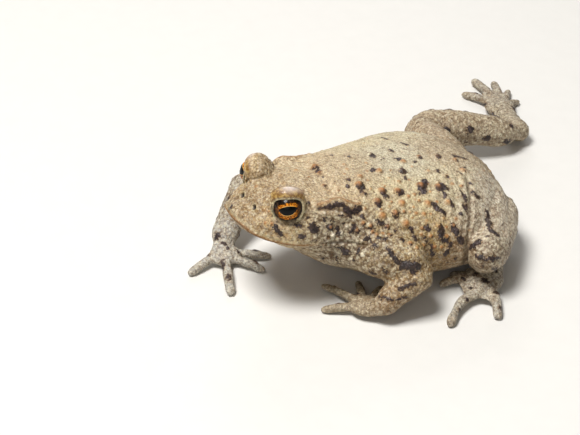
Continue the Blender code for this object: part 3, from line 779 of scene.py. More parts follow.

# Skin areas: the horny outer skin is sandy on the back, browner on the flanks, grey on hands
# and feet and plain below. Low on the flanks, under the chin and on the left forearm's lower
# side the tones are also darkened with painted shade, and the left thigh's are paler than the
# right's, partly a painted highlight. Place, colour, how high its granules and its warts stand,
# and how strongly it is mottled.
BACK_AREAS = [
    (on_head(0, 12, 11), "#b49e7c", 0.1, 0.1, 0.45), (on_head(0, 3, 6), "#957b56", 0.12, 0.05, 0.7),
    (on_head(0, 22, 12), "#bba88a", 0.12, 0.3, 0.4), (on_head(0, 9, -4), "#a1814a", 0.16, 0, 0.8),
    ((0, -5, 32), "#b9a98e", 0.12, 0.45, 0.3), ((0, 10, 31), "#c2bca8", 0.13, 0.6, 0.3),
    ((0, 28, 28), "#b3a38a", 0.16, 0.65, 0.45), ((0, 40, 12), "#957849", 0.2, 0.4, 0.9),
    ((0, 6, 0), "#b3a582", 0.25, 0, 0.4), ((0, -16, 8), "#a07a42", 0.18, 0, 0.6),
]
PAIRED_AREAS = [
    (on_head(8.6, 9.5, 14), "#a28c6a", 0.16, 0.1, 0.5), (on_head(12, 12, 3), "#d8bd8a", 0.13, 0.12, 0.6),
    (on_head(9, 6, 0.5), "#b89b6c", 0.12, 0.05, 0.6), (on_head(15, 21, 3), "#cbc2ae", 0.3, 0.4, 1.3),
    (on_head(12, 22, 14), "#cfb894", 0.1, 0.1, 0.4), ((17, 2, 27), "#ccbf9e", 0.13, 0.55, 0.3),
    ((17, 20, 26), "#cac0a4", 0.14, 0.62, 0.35), ((25, 4, 18), "#b89b5e", 0.15, 0.6, 0.6),
    # These two, low on the flank, are their own brown darkened with painted shade.
    ((26, 14, 11), "#9a7030", 0.15, 0.5, 0.6), ((23, 27, 14), "#744b1e", 0.15, 0.4, 0.5),
]
LIMB_AREAS = [
    ((22, -5, 20), "#b79f72", 0.18, 0.2, 1.2), ((28, 0, 12), "#b59a6c", 0.15, 0.15, 0.8),
    # The first of these, on the left forearm's lower side, is darkened with painted shade.
    ((28, -6, 7), "#8a6639", 0.13, 0.1, 0.7), ((24, -12, 3), "#958a76", 0.11, 0, 0.5),
    ((14, -13, 2), "#958a76", 0.09, 0, 0.45), ((-23, -12, 18), "#a08a60", 0.2, 0.2, 0.7),
    ((-26, -24, 10), "#b3b1ac", 0.19, 0.1, 0.9), ((-16, -34, 3), "#b4b5b4", 0.11, 0, 0.5),
    ((-8, -36, 2), "#b0b1af", 0.09, 0, 0.4), ((20, 31, 19), "#e4dacb", 0.18, 0.3, 0.7),
    ((31, 22, 14), "#cbbda9", 0.2, 0.3, 1.2), ((26, 25, 18.5), "#efe7db", 0.18, 0.3, 0.7),
    ((22, 29, 20.5), "#efe7db", 0.18, 0.3, 0.7), ((26, 30, 11), "#e8dfd3", 0.18, 0.25, 0.7),
    ((17, 35, 6), "#b1a593", 0.16, 0.08, 0.8), ((29, 20, 3), "#a8a8a4", 0.12, 0, 0.6),
    ((37, 12, 2), "#a8a8a4", 0.1, 0, 0.5), ((-22, 38, 18), "#b7a489", 0.2, 0.4, 0.7),
    ((-34, 50, 13), "#b5a38a", 0.2, 0.4, 0.7), ((-28, 66, 8), "#b2a58f", 0.17, 0.2, 0.7),
    ((-38, 76, 4), "#a9a192", 0.13, 0.04, 0.7), ((-55, 82, 2), "#a9a39a", 0.1, 0, 0.6),
]
AREA_REACH = 5.0
AREA_TAIL = 1e-4
MIRROR = (-1, 1, 1)


def linear(code):
    """Linear colour of an sRGB hex code: each channel less its offset, to the power 2.4."""
    channels = np.array([int(code[i:i + 2], 16) for i in (1, 3, 5)]) / 255
    return np.where(channels <= 0.04045, channels / 12.92, ((channels + 0.055) / 1.055) ** 2.4)


mirrored = [(np.array(place) * MIRROR, *rest) for place, *rest in PAIRED_AREAS]
total = np.zeros(len(points))
looks = np.zeros((len(points), 6))
for place, code, *amounts in [*BACK_AREAS, *PAIRED_AREAS, *mirrored, *LIMB_AREAS]:
    away = apart(points, place)
    weight = np.exp(-((away / AREA_REACH) ** 2) / 2) + AREA_TAIL / (1 + away**2)
    total += weight
    looks += weight[:, None] * np.array([*linear(code), *amounts])
looks /= total[:, None]
tone = looks[:, :3]
granules, warts, mottled = looks[:, 3:].T

# Warts: horny tubercles stand all over the back and flanks, tan or brown on top and some of
# them dark below it, and fine granules cover the rest. The tan top is partly a painted
# highlight, a little towards the light, and the dark below partly painted shade on the side
# away from it. The large ones are placed from the photograph: pixel, radius in pixels, height,
# how tan the top is and how dark the rest.
WARTS = [
    (370.8, 154.6, 3.4, 0.6, 0.1, 0.9), (390.2, 150.4, 3, 0.3, 0.1, 0.7), (403.3, 162, 3.6, 0.8, 1, 0),
    (399, 158.6, 2.6, 0.3, 0, 1), (378.8, 171.4, 4.2, 0.9, 0.9, 0), (372.6, 169.6, 2.7, 0.5, 0, 1),
    (401.7, 170.7, 3.9, 0.8, 0.1, 1), (418.8, 156.6, 3.2, 0.5, 0.6, 0.6), (420.2, 185.8, 4.8, 1.1, 0.9, 1),
    (437.8, 186.8, 4.2, 1, 0.9, 1), (358.8, 184.8, 4.7, 1.1, 1, 1), (363.4, 193.6, 3.4, 0.6, 0.2, 1),
    (381.6, 191.2, 4.5, 1.1, 1, 1), (377.2, 201.4, 4.5, 1, 0.8, 1), (397.4, 191.6, 4.8, 1.1, 0.8, 0.9),
    (395, 213, 3.9, 0.9, 0.9, 1), (382.4, 215.6, 4.6, 0.8, 1, 0), (402, 203.4, 4.4, 0.9, 1, 0),
    (406.1, 223.7, 4.4, 0.9, 1, 0.1), (427.4, 203.8, 4.3, 0.9, 0.9, 0), (447.6, 202.6, 3.4, 0.8, 0.9, 0),
    (438, 226.6, 3.4, 0.8, 0.3, 0), (462.7, 170.7, 4.6, 0.6, 0.7, 0.3), (360.2, 176.6, 3.4, 0.7, 0.8, 0.1),
    (315.3, 167.4, 4.3, 1.1, 0.9, 0.6), (319.8, 173.2, 3, 0.6, 0.8, 0.3),
    (323.6, 185.8, 2.8, 0.6, 0.7, 0.8), (296, 170.6, 2.5, 0.5, 0.8, 0), (308.9, 177, 1.8, 0.3, 0.7, 0),
    (280.2, 175, 2.6, 0.3, 0.2, 0), (284.4, 183.4, 2.6, 0.25, 0.3, 0), (256.5, 186.6, 2.4, 0.3, 0.6, 0),
    (348.2, 179.5, 2, 0.5, 0.5, 1), (346.8, 185.3, 2.2, 0.4, 0.1, 1), (367, 171.4, 1.7, 0.3, 0.8, 0),
    (390.3, 170.4, 1.7, 0.3, 0.8, 0), (347, 169.4, 2.3, 0.4, 0.6, 0), (344.2, 164.8, 2.5, 0.4, 0.5, 0),
    (344.6, 174.2, 1.7, 0.3, 0.7, 0), (367.8, 180.6, 1.7, 0.3, 0.7, 0), (370.6, 189.2, 2.1, 0.45, 0.7, 0),
    (384.9, 186.2, 1.7, 0.3, 0.7, 0), (398.7, 182.1, 2.8, 0.5, 0.6, 0), (408.4, 196.6, 2.4, 0.5, 1, 0.2),
    (391.5, 202, 1.8, 0.4, 1, 0), (389.5, 206.6, 1.6, 0.3, 0.7, 0), (381, 209.6, 1.8, 0.4, 1, 0),
    (365, 208.6, 2.1, 0.4, 0.7, 0.3), (413.5, 207.2, 1.8, 0.4, 0.9, 0), (403.8, 211.8, 2.1, 0.45, 1, 0.1),
    (409.8, 212.4, 1.6, 0.3, 0.6, 0), (416.2, 213.5, 2.4, 0.5, 1, 0), (424, 214.2, 2.8, 0.6, 1, 0),
    (430.6, 214.2, 1.8, 0.3, 0.8, 0), (419, 201, 2.1, 0.45, 0.9, 0), (436.7, 202.2, 2, 0.4, 1, 0),
    (412.2, 218, 1.5, 0.3, 0.7, 0), (427, 220.8, 2.1, 0.4, 0.5, 0), (446.4, 227, 2.1, 0.4, 0.8, 0),
    (443.4, 218.6, 1.9, 0.4, 0.6, 0), (455.9, 218.6, 2.3, 0.5, 0.8, 0), (453.4, 225, 2.3, 0.5, 0.9, 0),
    (421.9, 228.3, 2.1, 0.5, 1, 0.1), (430.6, 235.9, 2.4, 0.6, 1, 0.3), (414.4, 194.6, 2.1, 0.4, 0.9, 0.1),
    (446.6, 236, 2.5, 0.5, 1, 0.2), (441.3, 247.1, 2.3, 0.5, 1, 0), (416.8, 248.2, 2.2, 0.5, 1, 0.2),
    (410.2, 243.6, 3, 0.7, 1, 0.4), (423, 245.6, 2.9, 0.6, 1, 0.3), (434.2, 246.6, 2.7, 0.6, 1, 0.3),
    (387.2, 226.4, 2.8, 0.6, 0.8, 0.7), (370.4, 226, 2.8, 0.6, 0.7, 0.8),
    (372.4, 231.6, 2.5, 0.6, 0.9, 0.4), (376.6, 234.6, 2.4, 0.5, 0.8, 0.3), (363, 223, 2.5, 0.6, 1, 0.5),
    (382.8, 233.4, 2, 0.4, 0.8, 0.1), (389.8, 235.2, 2.4, 0.5, 0.8, 0.3),
    (421.4, 234.6, 2.3, 0.5, 0.8, 0.2), (332.6, 234.7, 2.9, 0.8, 0, 0), (341.2, 232.6, 2.9, 0.8, 0, 0),
    (337.4, 240.6, 2, 0.45, 0, 0), (330.2, 227, 2.6, 0.6, 0.8, 1), (347, 226, 2.6, 0.6, 0, 0),
    (356.8, 230.4, 2.6, 0.6, 0.6, 1), (342.4, 212.6, 2.4, 0.6, 0, 0), (337, 211.4, 2.2, 0.5, 0, 0),
    (324.6, 212.8, 2, 0.4, 0, 0), (264.6, 210.4, 2.9, 0.45, 0.3, 0), (268.9, 211.4, 1.4, 0.2, 1, 0.3),
    (265.4, 223, 2, 0.25, 0.9, 0), (271.8, 223.5, 2, 0.25, 0.9, 0.2), (455, 160, 3.4, 0.6, 0.7, 0.3),
    (437.6, 156.4, 3, 0.5, 0.3, 0.7), (412, 167, 2, 0.4, 0.6, 0), (428.4, 171, 2.2, 0.4, 0.6, 0),
    (446, 176, 2.4, 0.4, 0.3, 0.9), (452, 184, 2.4, 0.4, 0.8, 0), (366, 163, 2.2, 0.35, 0.6, 0),
    (389, 178, 1.8, 0.3, 0.5, 0), (409, 180, 1.8, 0.3, 0.6, 0), (430, 192, 1.9, 0.35, 0.8, 0),
    (461, 186, 2.4, 0.4, 0.8, 0.1), (428, 184, 1.6, 0.3, 0.7, 0), (325.5, 198.5, 1.1, 0.12, 0.6, 0),
    (334, 195.5, 1.1, 0.12, 0.6, 0), (343.5, 196.5, 1.1, 0.12, 0.6, 0), (350.5, 199.5, 1.2, 0.12, 0.6, 0),
    (338.5, 190.5, 1.2, 0.12, 0.5, 0), (329, 190.5, 1.2, 0.12, 0.5, 0),
]
# How far the lit tip, partly a painted highlight, and the painted shade of a wart lie from its
# middle, and how wide its parts are: the wart, its brown flank, its tip, a pale top, and the
# ground that it keeps clear. All are in its own radius.
LIT_TIP_SHIFT = (-0.1, -0.1)
SHADE_SHIFT = 0.35
WART_REACH = 2.5
WART_WIDTH = 1.35
FLANK_WIDTH = 1.15
TIP_WIDTH = 0.9
PALE_WIDTH = 1.3
CLEAR_WIDTH = 1.8
# Grids of the small warts, the granules and the finest ones: step, share of the grid's points
# that count, and seed.
SMALL_WARTS = (2.3, 0.6, 3)
GRANULES = (1.35, 1.0, 4)
FINE_GRANULES = (0.85, 1.0, 5)
TABLE_SIZE = 32
FARTHEST = 9.0
# Least value and rise with the lot: of a small wart's radius and height, and of a granule's
# height.
SMALL_RADIUS = (0.15, 0.1)
SMALL_SIZE = (0.5, 0.5)
GRANULE_SIZE = (0.4, 0.6)
SMALL_HEIGHT = 0.6
SMALL_TAN = (0.9, 0.1)
TAN_LOT = 0.4
TAN_GROUND = 0.4
GRANULE_WIDTH = 0.66
FINE_WIDTH = 0.7
FINE_HEIGHT = 0.35
HOLLOW_SHADE = 0.5
CREST_LIGHT = 0.75
SMALL_CREST = 0.6


def swell(ratio):
    """Rounded dome: one at the middle, one less the ratio squared, all squared, to nought."""
    return (1 - np.minimum(ratio, 1.0) ** 2) ** 2


def cells(points, step, share, seed):
    """Distance from each point to the nearest of a jittered grid's own points, over the step,
    and that point's lot. Only a share of the grid's points counts."""
    table = np.random.default_rng(seed).random((TABLE_SIZE, TABLE_SIZE, TABLE_SIZE, 4))
    grid = points / step
    base = np.floor(grid).astype(int)
    nearest = np.full(len(points), FARTHEST)
    lot = np.zeros(len(points))
    for shift in np.ndindex(3, 3, 3):
        cell = base + np.array(shift) - 1
        draw = table[tuple((cell % TABLE_SIZE).T)]
        away = np.linalg.norm(cell + draw[:, :3] - grid, axis=1)
        closer = (away < nearest) & (draw[:, 3] < share)
        nearest = np.where(closer, away, nearest)
        lot = np.where(closer, draw[:, 3] / share, lot)
    return nearest, lot


def scaled(lot, least, rise):
    """A size that goes evenly with the lot."""
    return least + rise * lot


rough_skin = 1 - np.clip(lid_near + lip_near, 0.0, 1.0)
russet, tip, named, pale_wart = np.zeros((4, len(points)))
wart_shades = []
for px, py, radius, tall, tan, dark in WARTS:
    place = on_skin(px, py)
    if place is None:
        continue
    scale = pixel_size(place)
    # Painted shade, partly the wart's own dark, on its side away from the light.
    shaded = traced((px + SHADE_SHIFT * radius, py + SHADE_SHIFT * radius))
    wart_shades.append((shaded, dark * radius * scale))
    crown = place + (LIT_TIP_SHIFT[0] * camera_right - LIT_TIP_SHIFT[1] * camera_up) * radius * scale
    radius *= scale
    some = near(points, place[None], WART_REACH * radius)
    away = apart(points[some], place) / radius
    height[some] += tall * swell(away / WART_WIDTH)
    lift(russet, some, tan * np.sqrt(swell(away / FLANK_WIDTH)))
    lift(named, some, swell(away / CLEAR_WIDTH))
    from_crown = apart(points[some], crown) / radius
    lift(tip, some, tan * swell(from_crown / TIP_WIDTH))
    if tan + dark == 0:
        lift(pale_wart, some, swell(from_crown / PALE_WIDTH))
away, lot = cells(points, *SMALL_WARTS)
radius = scaled(lot, *SMALL_RADIUS)
small = swell(away / radius) * scaled(lot, *SMALL_SIZE) * (1 - named) * rough_skin
height += SMALL_HEIGHT * warts * small
horny = small * np.where(lot > TAN_LOT, *SMALL_TAN) * np.minimum(warts / TAN_GROUND, 1.0)
russet = np.maximum(russet, horny)
away, lot = cells(points, *GRANULES)
granule = swell(away / GRANULE_WIDTH) * scaled(lot, *GRANULE_SIZE) * (1 - named)
height += granules * granule * rough_skin
away, _ = cells(points, *FINE_GRANULES)
height += FINE_HEIGHT * granules * swell(away / FINE_WIDTH) * rough_skin
cover = mottled * rough_skin
# Painted shade in the hollows between the granules and the warts.
painted_shade = np.maximum(painted_shade, HOLLOW_SHADE * (1 - granule) * (1 - np.maximum(small, named)) * cover)
# Painted highlight on the tops of the granules and small warts, and the pale warts' own tops.
crest_light_and_pale_wart = CREST_LIGHT * np.maximum(granule, SMALL_CREST * small) * cover
crest_light_and_pale_wart = np.maximum(crest_light_and_pale_wart, pale_wart)

# Blotches: dark brown blotches, often round the warts, are scattered over the sandy skin, and
# a dark band runs under each gland. Some strokes are painted shade instead: below the warts,
# under a gland's overhang and on the forearm's lower side. From pixel, to pixel, and radius in
# pixels.
HEAD_BLOTCHES = [
    (275, 227.5, 280.5, 233.5, 3), (295.5, 225.5, 301, 225.5, 1.4), (312, 226, 315, 230.5, 3.9),
    (298.5, 236.5, 303, 236, 1.6), (314.8, 239.8, 314.8, 239.8, 2), (307.4, 217.6, 307.4, 218, 1.5),
    (324.7, 219, 324.7, 219, 1.6), (328.5, 227.5, 333, 221.5, 2.1), (337.6, 228, 338.5, 235, 2),
    (343.5, 223, 343.5, 223, 1.6), (324.7, 186.5, 325.5, 188, 2.4), (313.5, 169.8, 321, 172, 1.9),
    (317, 176, 322, 177, 1.3), (323.2, 257.6, 323.2, 257.6, 2.4), (337, 258.6, 337, 258.6, 1.6),
    (339.5, 262.6, 339.5, 262.6, 1.3), (300.5, 250.5, 306.5, 253, 1.1), (321.3, 249.2, 321.3, 249, 1),
    (319, 208.3, 328, 207, 1.5), (328, 206.4, 335, 205.2, 2.5), (336, 204.8, 341.6, 204.6, 3.6),
    # The last stroke on the next line, under the gland's overhang, is painted shade.
    (345, 208.6, 352, 212.2, 3.4), (352, 212.2, 359.4, 209, 3.2), (341, 215.5, 352, 216.5, 1.6),
    (232.6, 205.2, 229.2, 210.2, 1.9), (309.2, 203.4, 309.6, 204.6, 1.6),
]
BACK_BLOTCHES = [
    (371.6, 156, 373.6, 157.4, 2.6), (401.5, 170, 403.6, 172.6, 3), (418, 156, 421, 158, 1.6),
    (437.5, 155, 439, 158.5, 1.8), (453.5, 156, 466, 159, 1.9), (436.5, 170, 438.5, 172.6, 1.6),
    (424.5, 182, 424.6, 192, 3.3), (416, 194.5, 418.5, 193.5, 1.4), (441, 185, 445.4, 189, 3),
    (444, 193, 445.6, 197, 1.8), (361.5, 187, 362.5, 189, 3), (362, 192.5, 366, 196.6, 2.4),
    (384.4, 193.6, 386, 196, 3.4), (385.2, 199.4, 385.6, 199.6, 1.6), (376.5, 203.6, 380, 203.8, 2.4),
    (399.8, 193.2, 402, 192.2, 3.3), (397, 215.2, 398, 216.4, 2.4), (432.4, 204.4, 437.6, 208.6, 2.7),
    (440.6, 210.4, 443.6, 212.4, 2.5), (449.8, 199.5, 452.8, 206.6, 1.5), (461, 214, 461.2, 215.4, 1.7),
    (427.6, 226.6, 428.2, 229, 2.3), (324.6, 156.2, 332, 155.4, 1), (349, 156.4, 353, 158.8, 1),
    (381, 160.2, 384, 158.2, 0.6), (393, 158.4, 397, 158.6, 0.7), (413, 162.2, 416, 161.8, 0.8),
    (459, 168.6, 465.6, 168, 0.9), (458.4, 172, 461, 174.6, 0.9), (404.8, 176.6, 406, 179.6, 0.5),
    (381.5, 137.8, 386, 139.4, 1.7), (401.5, 143.2, 407, 145.2, 1.5), (389, 150, 391, 150.6, 2),
]
FLANK_BLOTCHES = [
    (440.6, 228, 441, 237, 3.6), (441.6, 239.6, 446, 241, 2.2), (454, 226.6, 456.4, 233, 3.3),
    (459.6, 236, 461.4, 242, 2.6), (450.4, 244.8, 445.6, 253.4, 2.4), (431, 250.8, 432, 254.6, 2.1),
    (455, 258, 455, 258, 2), (447, 262, 447, 262, 1.8), (377, 220.4, 383.6, 224.6, 2.4),
    (386, 225.6, 388.4, 227.8, 2), (362, 215.6, 363.4, 219, 2), (350, 231.6, 357, 231.6, 2.1),
    (353.2, 226.4, 353.4, 228.6, 2.4), (343.5, 223, 343.6, 223.4, 1.6), (366, 238, 367.4, 239.4, 2.6),
    (378.6, 237.6, 384.6, 239.8, 2.4), (332, 248.6, 340, 247.2, 2.2), (342, 249.4, 347, 252.6, 2.9),
    (358.3, 250, 358.3, 253, 2.2), (354.2, 259.6, 354.6, 260.4, 1.6), (373, 244.6, 374.6, 247.6, 2.4),
    (402, 239, 403, 240.6, 2.2), (414.4, 237.6, 416, 241, 2.6), (411, 228.4, 412.6, 232, 2.4),
    (424.6, 238, 425.8, 241, 2.4), (396, 229.6, 396.8, 231.2, 1.7), (460.6, 192, 464.6, 197.6, 1.3),
    (462.4, 203, 463, 207.6, 1.3), (466, 200, 467, 212, 1.3), (432, 244.8, 432.6, 247.4, 1.6),
]
LEG_BLOTCHES = [
    (470, 183, 471.4, 185, 1.8), (473, 193, 477.6, 197, 2.2), (487, 212.6, 489.4, 226.6, 2.6),
    (492, 231, 498, 235.4, 2.6), (487.2, 235.6, 487.2, 236.2, 1.7), (471, 247.6, 478.6, 242.4, 3.4),
    (477, 256.4, 484, 257.6, 2), (485, 259.6, 499, 258, 2.1), (482.3, 266.4, 482.3, 267, 1.9),
    (492, 268, 496, 270, 1.6), (475.3, 274.2, 476, 275, 2.7), (484.4, 281, 486, 282, 2.7),
    (463.2, 278.4, 463.6, 279, 2), (466.8, 300, 467.2, 301, 1.8), (498.4, 291, 500, 295, 2.7),
    (500.6, 307.6, 500.6, 308.6, 1.8), (459, 311, 459, 311, 1.6), (470.6, 288, 472, 290, 1.2),
    (388.6, 250.6, 391.6, 253.4, 2.8), (395.6, 258.6, 398, 262.4, 2.9), (383.4, 269.4, 385.6, 271.4, 2.2),
    (371, 272.4, 374, 273.6, 2.2), (403, 265.4, 417, 266.6, 4.6), (412, 270, 414, 272, 3),
    # The strokes on the next line lie on the forearm's lower side and are painted shade.
    (399, 288.6, 415, 283.6, 1.8), (380, 296.4, 392, 300.4, 1.8), (398, 300, 405, 297.4, 1.2),
    (447, 130, 447, 130, 4), (470, 130, 470, 130, 4.2), (487, 138, 487, 138, 4), (506, 141, 508, 142, 3),
    (520, 108, 520, 108, 2.4), (512, 126, 512, 126, 2.6), (228, 248, 228, 248, 2.2),
    (222, 262, 224, 268, 2.2), (228, 275, 229, 280, 2), (216, 238, 218, 236, 2.8),
    (236, 250, 238, 252, 1.8), (223, 243, 226, 244.6, 1.4),
]
GLAND_BAND = [(319, 209), (328, 208.5), (336, 208.5), (343, 210.5), (350, 214), (359, 211.5)]
GLAND_RIM = [(317.8, 205.2), (328.7, 202.6), (332.6, 200), (339.6, 199), (346.5, 201.8),
             (355.4, 204.9), (359.8, 203.6)]
BLOTCH_RISE = 0.3
BLOTCH_EDGE = (-0.3, 0.8)
BLOTCH_REACH = 1.5
# How high the gland stands at its brown rim, how deep the band under it is drawn in, and how
# far and how strongly both go.
GLAND_LIP = 0.55
GLAND_UNDERCUT = 0.75
GLAND_REACH = 3.0
GLAND_WIDTH = 0.9
RIM_TAN = 0.75
RIM_WIDTH = 0.45
# How dark the painted shade in the band under the gland's overhang is, and its width.
BAND_SHADE = 0.9
BAND_WIDTH = 0.8
# Marks are mirrored, a little shifted, from beside the middle and behind the snout, and others
# are scattered where none is near and the camera doesn't see.
JITTER = 1.2
MIDDLE_STRIP = 6
SNOUT_END = -44
HIDDEN_STEP = 5.0
HIDDEN_RADIUS = (0.5, 1.25)
HIDDEN_LENGTH = 1.6
HIDDEN_COUNT = 150
FLOOR_STRIP = 2.0
SEEN_REACH = 1.4
SEEN_START = 0.4
SEEN_SLANT = -0.1
RNG = np.random.default_rng(11)


def seen(place, normal):
    """Whether the camera sees a place on the skin, or skin close beside it: nothing stands
    between them and the camera."""
    towards = unit(camera_place - place)
    if normal @ towards < SEEN_SLANT:
        return False
    for across, over in ((0, 0), (1, 0), (-1, 0), (0, 1), (0, -1)):
        shift = SEEN_REACH * (across * camera_right + over * camera_up)
        start = place + SEEN_START * normal + shift
        if not skin.ray_cast(Vector(start), Vector(towards))[0]:
            return True
    return False


strokes = []
for x0, y0, x1, y1, radius in [*HEAD_BLOTCHES, *BACK_BLOTCHES, *FLANK_BLOTCHES, *LEG_BLOTCHES]:
    line = traced((x0, y0), (x1, y1))
    if len(line):
        strokes.append((line, radius * pixel_size(line[0])))
# Painted shade below the warts, partly their own dark, joins the strokes and is mirrored too.
strokes += [(line, radius) for line, radius in wart_shades if radius > 0 and len(line)]
for line, radius in list(strokes):
    middle = line.mean(axis=0)
    if middle[0] < MIDDLE_STRIP or middle[1] < SNOUT_END:
        continue
    moved = line * MIRROR + RNG.normal(0, JITTER, 3)
    found = [skin.closest_point_on_mesh(Vector(place)) for place in moved]
    if not any(seen(np.array(place), np.array(normal)) for _, place, normal, _ in found):
        strokes.append((np.array([place for _, place, _, _ in found]), radius))
taken = np.array([line.mean(axis=0) for line, _ in strokes])
count = 0
for pick in RNG.permutation(len(points)):
    place = points[pick]
    if place[2] < FLOOR_STRIP or apart(taken, place).min() < HIDDEN_STEP:
        continue
    if seen(place, outward[pick]):
        continue
    taken = np.vstack([taken, place])
    aside = np.cross(outward[pick], RNG.normal(0, 1, 3))
    line = np.stack([place, place + unit(aside) * RNG.uniform(0, HIDDEN_LENGTH)])
    strokes.append((line, RNG.uniform(*HIDDEN_RADIUS)))
    count += 1
    if count == HIDDEN_COUNT:
        break
blotch = np.full(len(points), -BLOTCH_REACH)
for line, radius in strokes:
    some, away = beside(line, radius + BLOTCH_REACH)
    lift(blotch, some, radius - away)
height += BLOTCH_RISE * eased_step(blotch, *BLOTCH_EDGE) * (1 - named) * rough_skin
band = traced(*GLAND_BAND)
rim = traced(*GLAND_RIM)
for flip in ((1, 1, 1), MIRROR):
    some, away = beside(rim * flip, GLAND_REACH)
    lift(russet, some, RIM_TAN * bell(away, RIM_WIDTH))
    height[some] += GLAND_LIP * bell(away, GLAND_WIDTH)
    some, away = beside(band * flip, GLAND_REACH)
    height[some] -= GLAND_UNDERCUT * bell(away, GLAND_WIDTH)
    # Painted shade in the band under the gland's overhang.
    lift(painted_shade, some, BAND_SHADE * bell(away, BAND_WIDTH))

# Finished skin: the relief goes on along the skin's own direction, hands, feet and belly rest
# flat on the floor, and the mesh is thinned: not at all on lids, lips and nostrils, a little
# less on the head than on the body, and most of all where it faces the floor.
SKIN_TRIANGLES = 196000
THIN_FACTOR = 0.08
THIN_SHARES = {"head": 0.72, "body": 0.8, "below": 0.92}
THIN_LEVELS = 25
NECK = (12.0, 18.0)
FACING_FLOOR = (0.35, 0.75)
WHOLE_SKIN = 0.5
WHOLE_LINE = 0.05
RING_SHARE = 0.6

points = points + outward * height[:, None]
points[:, 2] = np.maximum(points[:, 2], 0.0)
head_share = eased_step(-(points[:, 1]), *NECK)
thinning = THIN_SHARES["body"] + (THIN_SHARES["head"] - THIN_SHARES["body"]) * head_share
thinning += (THIN_SHARES["below"] - thinning) * eased_step(-outward[:, 2], *FACING_FLOOR)
whole = (lid_near > WHOLE_SKIN) | (lip_near > WHOLE_SKIN) | (lid_shade > WHOLE_LINE)
thinning[whole] = 0.0
reshape(skin, points)


def paint(piece, name, values):
    """Keep a value or a colour for each point of a piece as an attribute."""
    kind = "FLOAT" if values.ndim == 1 else "FLOAT_COLOR"
    layer = piece.data.attributes.new(name, kind, "POINT")
    if kind == "FLOAT":
        layer.data.foreach_set("value", values.astype(np.float32))
    else:
        rgba = np.column_stack([values, np.ones(len(values))])
        layer.data.foreach_set("color", rgba.astype(np.float32).ravel())


for name, values in (("tone", tone), ("blotch", blotch), ("mottled", mottled)):
    paint(skin, name, values)
for name, values in (
    ("russet", russet), ("tip", tip), ("painted_shade", painted_shade), ("crest_light_and_pale_wart", crest_light_and_pale_wart), ("gold", pad_gold_and_sheen),
    ("painted_glint", painted_pad_highlight), ("ring", np.maximum(lid_ring, RING_SHARE * lip_pale)), ("lip", lip),
    # The dark field is painted shade: the lids' grooves, creases and margins, and the nostril pits.
    ("dark", np.maximum(lid_shade, nostril)),
):
    paint(skin, name, np.clip(values, 0, 1))
group = skin.vertex_groups.new(name="thin")
levels = np.round(thinning * THIN_LEVELS).astype(int)
for level in np.unique(levels):
    at_level = np.nonzero(levels == level)[0].tolist()
    group.add(at_level, float(level) / THIN_LEVELS, "REPLACE")
thin = skin.modifiers.new("thin", "DECIMATE")
thin.vertex_group = "thin"
thin.vertex_group_factor = THIN_FACTOR
corners = read(skin.data.polygons, "loop_total", 1, int)
thin.ratio = SKIN_TRIANGLES / int((corners - 2).sum())
thin.use_collapse_triangulate = True
settle(skin)
skin.vertex_groups.clear()
reshape(skin, (read(skin.data.vertices, "co", 3) + TO_ROW) * MILLIMETRE)
skin.data.shade_smooth()

# Toad skin: dry, horny outer skin over moist flesh, so it is mostly dull with faint wet
# glints. The finest mottling is about half a millimetre across and the relief as fine.
GRAIN_SIZE = 0.8
GRAIN_RIM_SHADE = (0.42, 0.75)
GRAIN_TOP_LIGHT = (0.3, 0.1)
SPECK_SIZE = 0.75
SPECK_EDGE = (0.4, 0.16)
PIMPLE_SIZE = 0.55
PIMPLE_SOFTNESS = 0.6
# Patterns of soft noise: the size of their grains, the values between which they come in, and
# where it isn't the plain one their detail and roughness.
PATCH = (4.0, 0.48, 0.7)
MOTTLE = (0.9, 0.42, 0.6, 4.0, 0.65)
DAPPLE = (1.53, 0.53, 0.64, 4.0, 0.7)
SPECK_GROUND = (2.2, 0.44, 0.56)
FINE_GRAIN = (0.4, 0.35, 0.68, 3.0, 0.7)
TAN = (0.9, 0.4, 0.64)
BLACK = (0.8, 0.42, 0.66)
BROWN = (2.4, 0.45, 0.6)
HORN = (0.7, 0.42, 0.62)
SHEEN = (0.9, 0.42, 0.62, 4.0)
# Size, detail and strength of the two noises that fray a blotch, and where its brown fringe
# and its black middle come in.
FRAY = (1.6, 2.0)
FRAY_DEPTH = 2.2
FINE_FRAY = (0.6, 2.0)
FINE_FRAY_DEPTH = (0.5, 2.0)
FRINGE = (-0.5, 0.05)
CORE = (-0.06, 0.12)
WART_TOP = (0.45, 0.95)
# Shares of the grains, the pimples and the finest noise in the relief, and its depth in metres.
RELIEF = (-1.0, -0.5, 0.8)
RELIEF_GRAIN = (0.3, 2.0)
RELIEF_DEPTH = 0.00022
DULL = (0.44, 0.2)
DULL_SIZE = 1.6
WET = 0.18
DAMP = 0.6


def add(tree, kind, inputs=None, output=0, **settings):
    """Add a node with its settings; each input takes a value or another node's output."""
    made = tree.nodes.new(kind)
    for name, value in settings.items():
        setattr(made, name, value)
    for name, value in (inputs or {}).items():
        if isinstance(value, bpy.types.NodeSocket):
            tree.links.new(value, made.inputs[name])
        else:
            made.inputs[name].default_value = value
    return made.outputs[output]


def finish(name, inputs):
    """New node material with its surface's fixed inputs, its tree and its surface."""
    material = bpy.data.materials.new(name)
    material.use_nodes = True
    surface = material.node_tree.nodes["Principled BSDF"]
    for key, value in inputs.items():
        surface.inputs[key].default_value = value
    return material, material.node_tree, surface


toad_skin, tree, surface = finish("toad_skin", {
    "IOR": 1.42, "Subsurface Weight": 0.06, "Subsurface Radius": (1.0, 0.5, 0.3),
    "Subsurface Scale": 0.001,
})
place = add(tree, "ShaderNodeTexCoord", output="Object")


